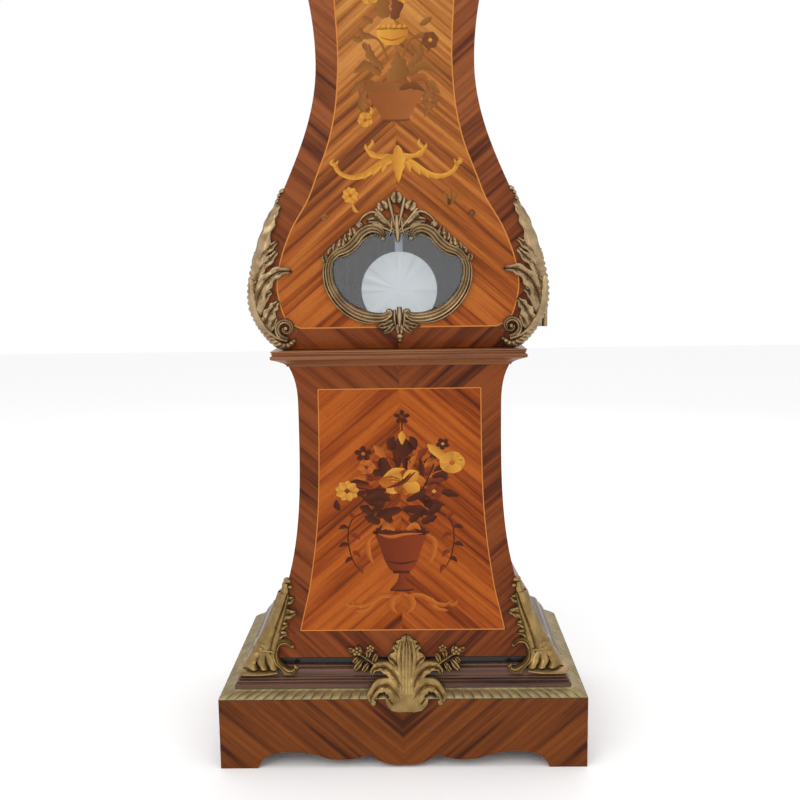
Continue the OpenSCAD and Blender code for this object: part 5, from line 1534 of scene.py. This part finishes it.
def sabotFront(z):
    if z >= pedestalFoot:
        return pedestalFront(z)
    return between([(level, face) for level, half, face in stepLevels], z)


def makeSabots():
    mount = castMount("pedestalSabots", "case", footBronze, ["sabots"])
    leaves = [
        ([(196, 196), (184, 206), (168, 208)], [10, 9, 1.5], 9, 3),
        ([(190, 216), (174, 226), (155, 229)], [10, 10, 1.5], 9, 3),
        ([(182, 240), (170, 250), (157, 256)], [8, 8, 1.2], 9, 3),
        ([(198, 178), (184, 190), (170, 192)], [8, 7, 1.2], 8, 2),
    ]
    for side in (-1, 1):
        for points, widths, height, lobes in leaves:
            mount.leaf(points, widths, height, lobes, 0.2)
            if points[-1][0] < 172:
                mount.leaf(roundBack(points, sabotHalf, 0.85), widths, height, lobes, 0.26)
        # Long fluted blade of the leaf, bent round the corner
        mount.scroll([(212, 158), (206, 182), (195, 210), (182, 240), (171, 266)],
                     [22, 23, 20, 15, 7], 12, 4, 40)
        for low, tip, w in ((176, 12, 7), (196, 13, 7), (216, 13, 7), (236, 12, 6), (252, 9, 5)):
            edge = 214 - (low - 158) * 0.4
            mount.leaf([(edge + 12, low), (edge + 22, low + 8), (edge + 22 + tip * 0.5, low + 14)],
                       [w, w, 1], 9, 1, 0.1)
        # Toe spreading over the steps in broad flutes, with a lip above and below
        for low in (200, 214, 229, 244, 258):
            mount.rod([(208 + (low - 200) * 0.22, 176), (204 + (low - 200) * 0.5, 160),
                       (low, 146), (low + 1, 134)], [4, 7, 8.4, 7], 12)
        mount.rod([(193, 163), (216, 166), (240, 166), (268, 163)], [3, 5, 5, 4], 14)
        mount.rod([(194, 131), (216, 129), (240, 129), (272, 130)], [2, 3, 3, 3], 13)
        # Scroll on the inner edge and its twin round the corner
        for curl in (False, True):
            points = [(166, 171), (173, 178), (183, 177), (190, 167), (193, 153), (189, 139),
                      (181, 131), (171, 131), (166, 137)]
            if curl:
                points = roundBack(points, sabotHalf, 1.0)
            mount.scroll(points, [2.5, 4, 5, 5.5, 5.5, 5.5, 5, 4, 2.5], 11, 2, 36)
            mount.bead(points[0][0], points[0][1] - 1, 3.4, 5)
            mount.bead(points[-1][0], points[-1][1], 3.4, 6)
        # Stem and buds
        mount.rod([(172, 258), (170, 270), (168, 282)], [6, 4, 3], 8)
        for x, z, r in ((166.5, 287, 4.6), (171, 279, 5), (177, 274, 4.4), (163, 276, 3.6),
                        (173, 268, 5)):
            mount.bead(x, z, r, 4)
        corner = onCorner(sabotHalf, sabotFront, side)

        def lowered(x, z, h):
            # Settles the whole casting onto the upper step, its side narrower than its front
            level = sabotFit["settled"] + (z - sabotFit["toe"]) * sabotFit["squash"]
            past = x - sabotHalf(z)
            if past > 0:
                past *= sabotFit["past"]
            return corner(sabotHalf(level) + past, level, h)

        mount.place(lowered)
    mount.finishSet()


centreLevels = [(86, -168), (104, -168), (112, -164), (122, -156), (134, -146), (146, -135),
                (156, -126), (168, -121), (185, -116.5), (206, -112.5)]
centreFit = {"foot": 88, "squash": 0.82, "aside": 6, "reach": 171.7, "fade": 10,
             "thinnest": 0.36}


def onCentre(x, z, h):
    # Thinner where it laps over the plinth's front, so that it stays within the footprint
    fit = centreFit
    z = fit["foot"] + (z - fit["foot"]) * fit["squash"]
    face = between(centreLevels, z)
    height = h * min(1, max(fit["thinnest"], (face + fit["reach"]) / fit["fade"]))
    return x + fit["aside"], face - height, z


def makeCentreMount():
    mount = castMount("plinthCentreMount", "case", footBronze, ["plinth_centre_mount"])
    # Fluted stem that opens into a leaf
    for x0, x1, x2, x3, w in ((-15, -9, -9, -12, 5), (-7, -4.5, -4.5, -5, 4.5),
                              (0, 0, 0, 0, 4.4), (7, 4.5, 4.5, 5, 4.5), (15, 9, 9, 12, 5)):
        mount.rod([(x0, 88), (x1, 112), (x2, 140), (x3, 170), (x3 * 0.7, 196)],
                  [w * 1.6, w * 1.1, w, w * 0.9, w * 0.5], 7)
    mount.leaf([(0, 140), (0, 160), (0, 182), (0, 206)], [20, 26, 19, 3], 6, 6, 0.3)
    mount.leaf([(0, 110), (0, 100), (0, 88)], [18, 22, 24], 3, 2, 0.1)
    for s in (-1, 1):
        flip = sided(s)
        # Lower and upper leaf scrolls
        mount.leaf(flip((8, 104), (16, 122), (28, 132), (42, 130), (52, 116), (50, 103)),
                   [12, 13, 11, 9, 6, 2], 9, 5, 0.16, 0.05)
        mount.volute(s * 42, 112, 90 - s * 90, -s * 60, 9, 8, [3, 2.5], 8, 1)
        mount.bead(s * 49, 103, 3.6, 4)
        mount.leaf(flip((8, 128), (18, 146), (30, 156), (44, 157), (52, 149)),
                   [10, 10, 8, 5, 1.5], 9, 4, 0.2)
        mount.leaf(flip((6, 150), (18, 164), (28, 172)), [8, 7, 1], 7, 3)
        mount.leaf(flip((4, 168), (14, 182), (19, 190)), [6, 5, 1], 6, 2)
        mount.rod(flip((18, 92), (26, 100), (30, 112)), [5, 4, 2], 4)
        # Sprays of blossom on either side
        mount.rod(flip((34, 152), (50, 162), (66, 172), (78, 178)), [1.6, 1.6, 1.4, 1], 7)
        for x, z, dx, dz, w in ((50, 162, -6, 14, 4), (58, 168, -2, 16, 4.4),
                                (68, 174, 4, 14, 4.2), (76, 178, 12, 6, 4),
                                (56, 162, 10, -12, 4), (66, 166, 12, -14, 4.6),
                                (48, 158, 4, -12, 4), (72, 170, 8, -8, 3.6)):
            mount.leaf(flip((x, z), (x + dx * 0.6, z + dz * 0.6), (x + dx, z + dz)),
                       [w * 0.7, w, 0.6], 7, 2)
        for i in range(5):
            a = math.radians(72 * i + 18)
            mount.bead(s * (74 + 5 * math.cos(a)), 180 + 5 * math.sin(a), 2.9, 6, 0.7)
            mount.bead(s * (54 + 4 * math.cos(a)), 184 + 4 * math.sin(a), 2.4, 5, 0.7)
        mount.bead(s * 74, 180, 2.6, 8)
        mount.bead(s * 54, 184, 2.2, 7)
    mount.place(onCentre)
    mount.finishSet()


def makeHoodMounts():
    mount = castMount("hoodCornerMounts", "case", mountBronze, ["hood_mounts"])
    low = hoodFoot
    for side in (-1, 1):
        for share in (0, 1):
            for points, widths, height, lobes in (
                    ([(206, low + 8), (204, low + 40), (205, low + 72), (210, low + 94)],
                     [15, 16, 11, 2], 7, 6),
                    ([(202, low + 26), (190, low + 36), (178, low + 36)], [8, 8, 1.2], 6, 3),
                    ([(202, low + 8), (186, low + 14), (172, low + 8)], [9, 8, 1.2], 6, 3)):
                if share:
                    points = roundBack(points, hoodHalf, 0.9)
                mount.leaf(points, widths, height, lobes)
        mount.volute(186, low + 18, -90, 300, 9, 3, [3.5, 3, 2.5, 2], 6)
        mount.place(onCorner(hoodHalf, hoodFront, side))
    mount.finishSet()


def makeEscutcheon():
    mount = castMount("keyEscutcheon", "door", mountBronze, ["escutcheon"])
    key = [(a + b) / 2 for a, b in zip(*box("door_key"))]
    x, z = key[0], key[2]
    for s in (-1, 1):
        mount.scroll([(x, z + 8), (x + s * 6, z + 7), (x + s * 7.5, z), (x + s * 6, z - 7),
                      (x, z - 9)], [2, 2.6, 3, 2.6, 2], 3.6, 1)
        mount.volute(x + s * 8, z + 13, -90, s * 260, 5, 1.6, [2.4, 2, 1.6], 3.6, 1)
        mount.volute(x + s * 7, z - 14, 90, -s * 240, 4.4, 1.6, [2.2, 1.8, 1.4], 3.6, 1)
    mount.leaf([(x, z + 10), (x, z + 18), (x, z + 25)], [5, 6, 0.8], 3.8, 3)
    mount.leaf([(x, z - 11), (x, z - 18), (x, z - 24)], [4, 5, 0.8], 3.8, 3)
    mount.place(onTrunk)
    mount.finishSet()


makeTrunkMounts()
makeWindowFrame()
makeSabots()
makeCentreMount()
makeHoodMounts()
makeEscutcheon()
print("cast mounts set")

# Dial, bezel, finial and cables


def turned(name, profile, around, lobes=0, lobeDepth=0.0, upright=False):
    # A closed profile of (radius, height) turned about an axis through around
    loop = profile + [profile[0]] if profile[0] != profile[-1] else profile

    def place(a, b):
        turn = 2 * math.pi * a
        r, h, *share = loop[round(b * (len(loop) - 1))]
        if share:
            r *= 1 + lobeDepth * share[0] * (abs(math.cos(lobes * turn / 2)) - 0.6)
        x, y, z = around
        if upright:
            return Vector((x + r * math.cos(turn), y + r * math.sin(turn), z + h)) * mm
        return Vector((x + r * math.cos(turn), y - h, z + r * math.sin(turn))) * mm

    sheet = formSheet(name, max(72, lobes * 10), len(loop) - 1, place)
    return joinPieces([sheet], name, 0.00001)


def bar(x0, z0, x1, z1, width, face, height):
    # One straight stroke lying on the dial, from its underside at face
    bpy.ops.object.select_all(action="DESELECT")
    bpy.ops.mesh.primitive_cube_add(size=1)
    stroke = bpy.context.object
    length = math.hypot(x1 - x0, z1 - z0)
    along = ((x1 - x0) / length, (z1 - z0) / length)
    for vertex in stroke.data.vertices:
        u, v, w = vertex.co
        x = (x0 + x1) / 2 + along[0] * u * length - along[1] * v * width
        z = (z0 + z1) / 2 + along[1] * u * length + along[0] * v * width
        vertex.co = (x * mm, (face - height * (w + 0.5)) * mm, z * mm)
    return stroke


def makePaint(name, colour, rough=0.3, coat=0.3):
    finish, tree, shader = newFinish(name)
    haze = stretchedNoise(tree, addNode(tree, "ShaderNodeTexCoord").outputs["Object"],
                          (40, 40, 40), 3)
    tree.links.new(blendColours(tree, haze, colour, tuple(c * 0.86 for c in colour)),
                   shader.inputs["Base Color"])
    shader.inputs["Roughness"].default_value = rough
    shader.inputs["Coat Weight"].default_value = coat
    return finish


enamelWhite = makePaint("whiteEnamel", (0.80, 0.78, 0.70), 0.18, 0.5)
enamelBlack = makePaint("blackEnamel", (0.012, 0.012, 0.016), 0.25, 0.3)
dialPlace = [(a + b) / 2 for a, b in zip(*box("dial_plate"))]
dialFace = box("dial_plate")[0][1]
dialSet = {"ring": 84, "ringGap": 5, "numeral": 62, "numeralTall": 15, "stroke": 2.6, "thin": 0.9,
           "lift": 0.35}
numerals = ["XII", "I", "II", "III", "IIII", "V", "VI", "VII", "VIII", "IX", "X", "XI"]
letterWide = {"I": 4.6, "V": 9.0, "X": 9.4}


def makeDialMarks():
    strokes = []
    cx, cz = dialPlace[0], dialPlace[2]

    def polar(radius, hour, across=0.0):
        turn = math.radians(30 * hour)
        return (cx + radius * math.sin(turn) + across * math.cos(turn),
                cz + radius * math.cos(turn) - across * math.sin(turn))

    def stroke(hour, x0, r0, x1, r1, width):
        strokes.append(bar(*polar(r0, hour, x0), *polar(r1, hour, x1), width, dialFace,
                           dialSet["lift"]))

    foot, tall = dialSet["numeral"], dialSet["numeralTall"]
    for hour, word in enumerate(numerals):
        spot = -sum(letterWide[c] for c in word) / 2
        for letter in word:
            half = letterWide[letter] / 2
            spot += half
            if letter == "I":
                stroke(hour, spot, foot, spot, foot + tall, dialSet["stroke"])
            elif letter == "V":
                stroke(hour, spot - half * 0.62, foot + tall, spot, foot, dialSet["stroke"])
                stroke(hour, spot + half * 0.62, foot + tall, spot, foot, dialSet["thin"])
            else:
                stroke(hour, spot - half * 0.62, foot + tall, spot + half * 0.62, foot,
                       dialSet["stroke"])
                stroke(hour, spot + half * 0.62, foot + tall, spot - half * 0.62, foot,
                       dialSet["thin"])
            for level in (foot, foot + tall):
                stroke(hour, spot - half * 0.8, level, spot + half * 0.8, level, dialSet["thin"])
            spot += half
    for minute in range(60):
        hour = minute / 5
        wide = 2.0 if minute % 5 == 0 else 0.8
        stroke(hour, 0, dialSet["ring"], 0, dialSet["ring"] + dialSet["ringGap"], wide)
    rings = []
    for radius in (dialSet["ring"], dialSet["ring"] + dialSet["ringGap"]):
        rings.append(turned("ring", [(radius - 0.35, 0), (radius + 0.35, 0),
                                     (radius + 0.35, dialSet["lift"]),
                                     (radius - 0.35, dialSet["lift"])],
                            (cx, dialFace, cz)))
    marks = joinPieces(strokes + rings, "dialMarks", 0)
    finishPiece(marks, "case", enamelBlack, angle=30)


def makeDialTrim():
    cx, cz = dialPlace[0], dialPlace[2]
    trims = []
    for dx in (-winding[0], winding[0]):
        trims.append(turned("windingRim", [(6.2, 0), (8.0, 0), (8.0, 0.5), (7.4, 1.1),
                                           (6.6, 1.1), (6.2, 0.5)], (cx + dx, dialFace, winding[1])))
    trims.append(turned("innerBand", [(100, 0), (106, 0), (106, 0.6), (103, 1.8), (100, 0.6)],
                        (cx, dialFace, cz)))
    trims.append(turned("centreBand", [(40, 0), (43, 0), (42.6, 0.8), (40.4, 0.8)],
                        (cx, dialFace, cz)))
    finishPiece(joinPieces(trims, "dialTrim", 0), "case", brassPolished, angle=40)


def makeBezel():
    low, high = box("bezel_ring")
    cx, cz = (low[0] + high[0]) / 2, (low[2] + high[2]) / 2
    outer = (high[0] - low[0]) / 2
    deep = high[1] - low[1]
    profile = [(112, 0), (outer - 1, 0), (outer, 1.5), (outer, 3), (outer - 2, 4.5),
               (outer - 3, 7.5), (outer - 6, 10.6), (outer - 9, deep), (outer - 12, 10.6),
               (outer - 14, 8), (outer - 16, 8.4), (outer - 18, 7.6), (112.5, 5.5), (112, 4)]
    ring = turned("bezelMoulding", profile, (cx, high[1], cz))
    finishPiece(ring, "bezel", brassPolished, ["bezel_ring"], 30)


def makeFinial():
    low, high = box("finial")
    cx, cy = (low[0] + high[0]) / 2, (low[1] + high[1]) / 2
    profile = [(0, 0), (34, 0), (34, 5), (30, 7.5), (22, 12), (15.5, 18), (13.5, 26), (11.5, 35),
               (14, 40), (11.5, 42.5), (15, 46, 0.4), (30, 53, 0.9), (40, 64, 1), (45, 78, 1),
               (45, 90, 1), (39, 102, 1), (29, 111, 0.8), (20, 116, 0.3), (24, 118), (24, 124),
               (18, 127), (11.5, 130), (9, 138), (10.5, 146, 0.5), (15, 157, 1), (17, 168, 1),
               (14, 182, 1), (8, 197, 1), (2.5, 208), (0, 210)]
    urn = turned("finialUrn", profile, (cx, cy, low[2]), 12, 0.14, True)
    finishPiece(urn, "case", plainBronze, ["finial"], 60)


def makeCables():
    for name, body in (("going_cable", "going_fall"), ("strike_cable", "strike_fall")):
        low, high = box(name)
        cx, cy = (low[0] + high[0]) / 2, (low[1] + high[1]) / 2
        bottom, top = low[2], high[2]

        def place(a, b):
            turn = 2 * math.pi * a
            return Vector((cx + 0.9 * math.cos(turn), cy + 0.9 * math.sin(turn),
                           bottom + (top - bottom) * b)) * mm

        tube = formSheet(name + "Run", 10, 40, place)
        tube = joinPieces([tube], name + "Run", 0.00001)
        faceOutwards(fill=True)
        bpy.ops.object.shade_smooth_by_angle(angle=math.radians(40))
        tube.data.materials.append(steelPlain)
        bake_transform(tube)
        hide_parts(name)


drum = [(a + b) / 2 for a, b in zip(*box("going_drum"))]
winding = (drum[0], drum[2])
makeDialMarks()
makeDialTrim()
makeBezel()
makeFinial()
makeCables()
print("dial, bezel, finial and cables set")


# Finishes on the frame's own parts
nodeFinish = {
    "plinth_front_apron": plinthWood, "plinth_sides": plinthWood, "plinth_back_rail": oakPlain,
    "pedestal_front_panel": caseInside, "pedestal_sides": caseInside, "trunk_sides": caseInside,
    "trunk_door": caseInside, "back_board": caseInside, "hood_sides": caseInside,
    "hood_front": caseInside, "seat_board": oakPlain, "lenticle_glass": windowGlass,
    "bezel_glass": dialGlass, "pendulum_bob": bobFace, "lock_bolt": steelPlain,
    "centre_arbor": steelPlain, "third_arbor": steelPlain, "escape_arbor": steelPlain,
    "anchor": steelPlain, "bell_post": steelPlain, "hammer": steelPlain,
    "pendulum_rod": steelPlain, "hour_hand": bluedSteel, "minute_hand": bluedSteel,
    "dial_plate": enamelWhite, "trunk_hinge_case_leaves": plainBronze,
    "trunk_hinge_door_leaves": plainBronze, "bezel_hinge": plainBronze,
}


def finishNodes():
    for name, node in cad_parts.items():
        finish = nodeFinish.get(name, brassPolished)
        if node.material_slots:
            for slot in node.material_slots:
                slot.material = finish
        else:
            node.data.materials.append(finish)


finishNodes()
print("frame parts finished")
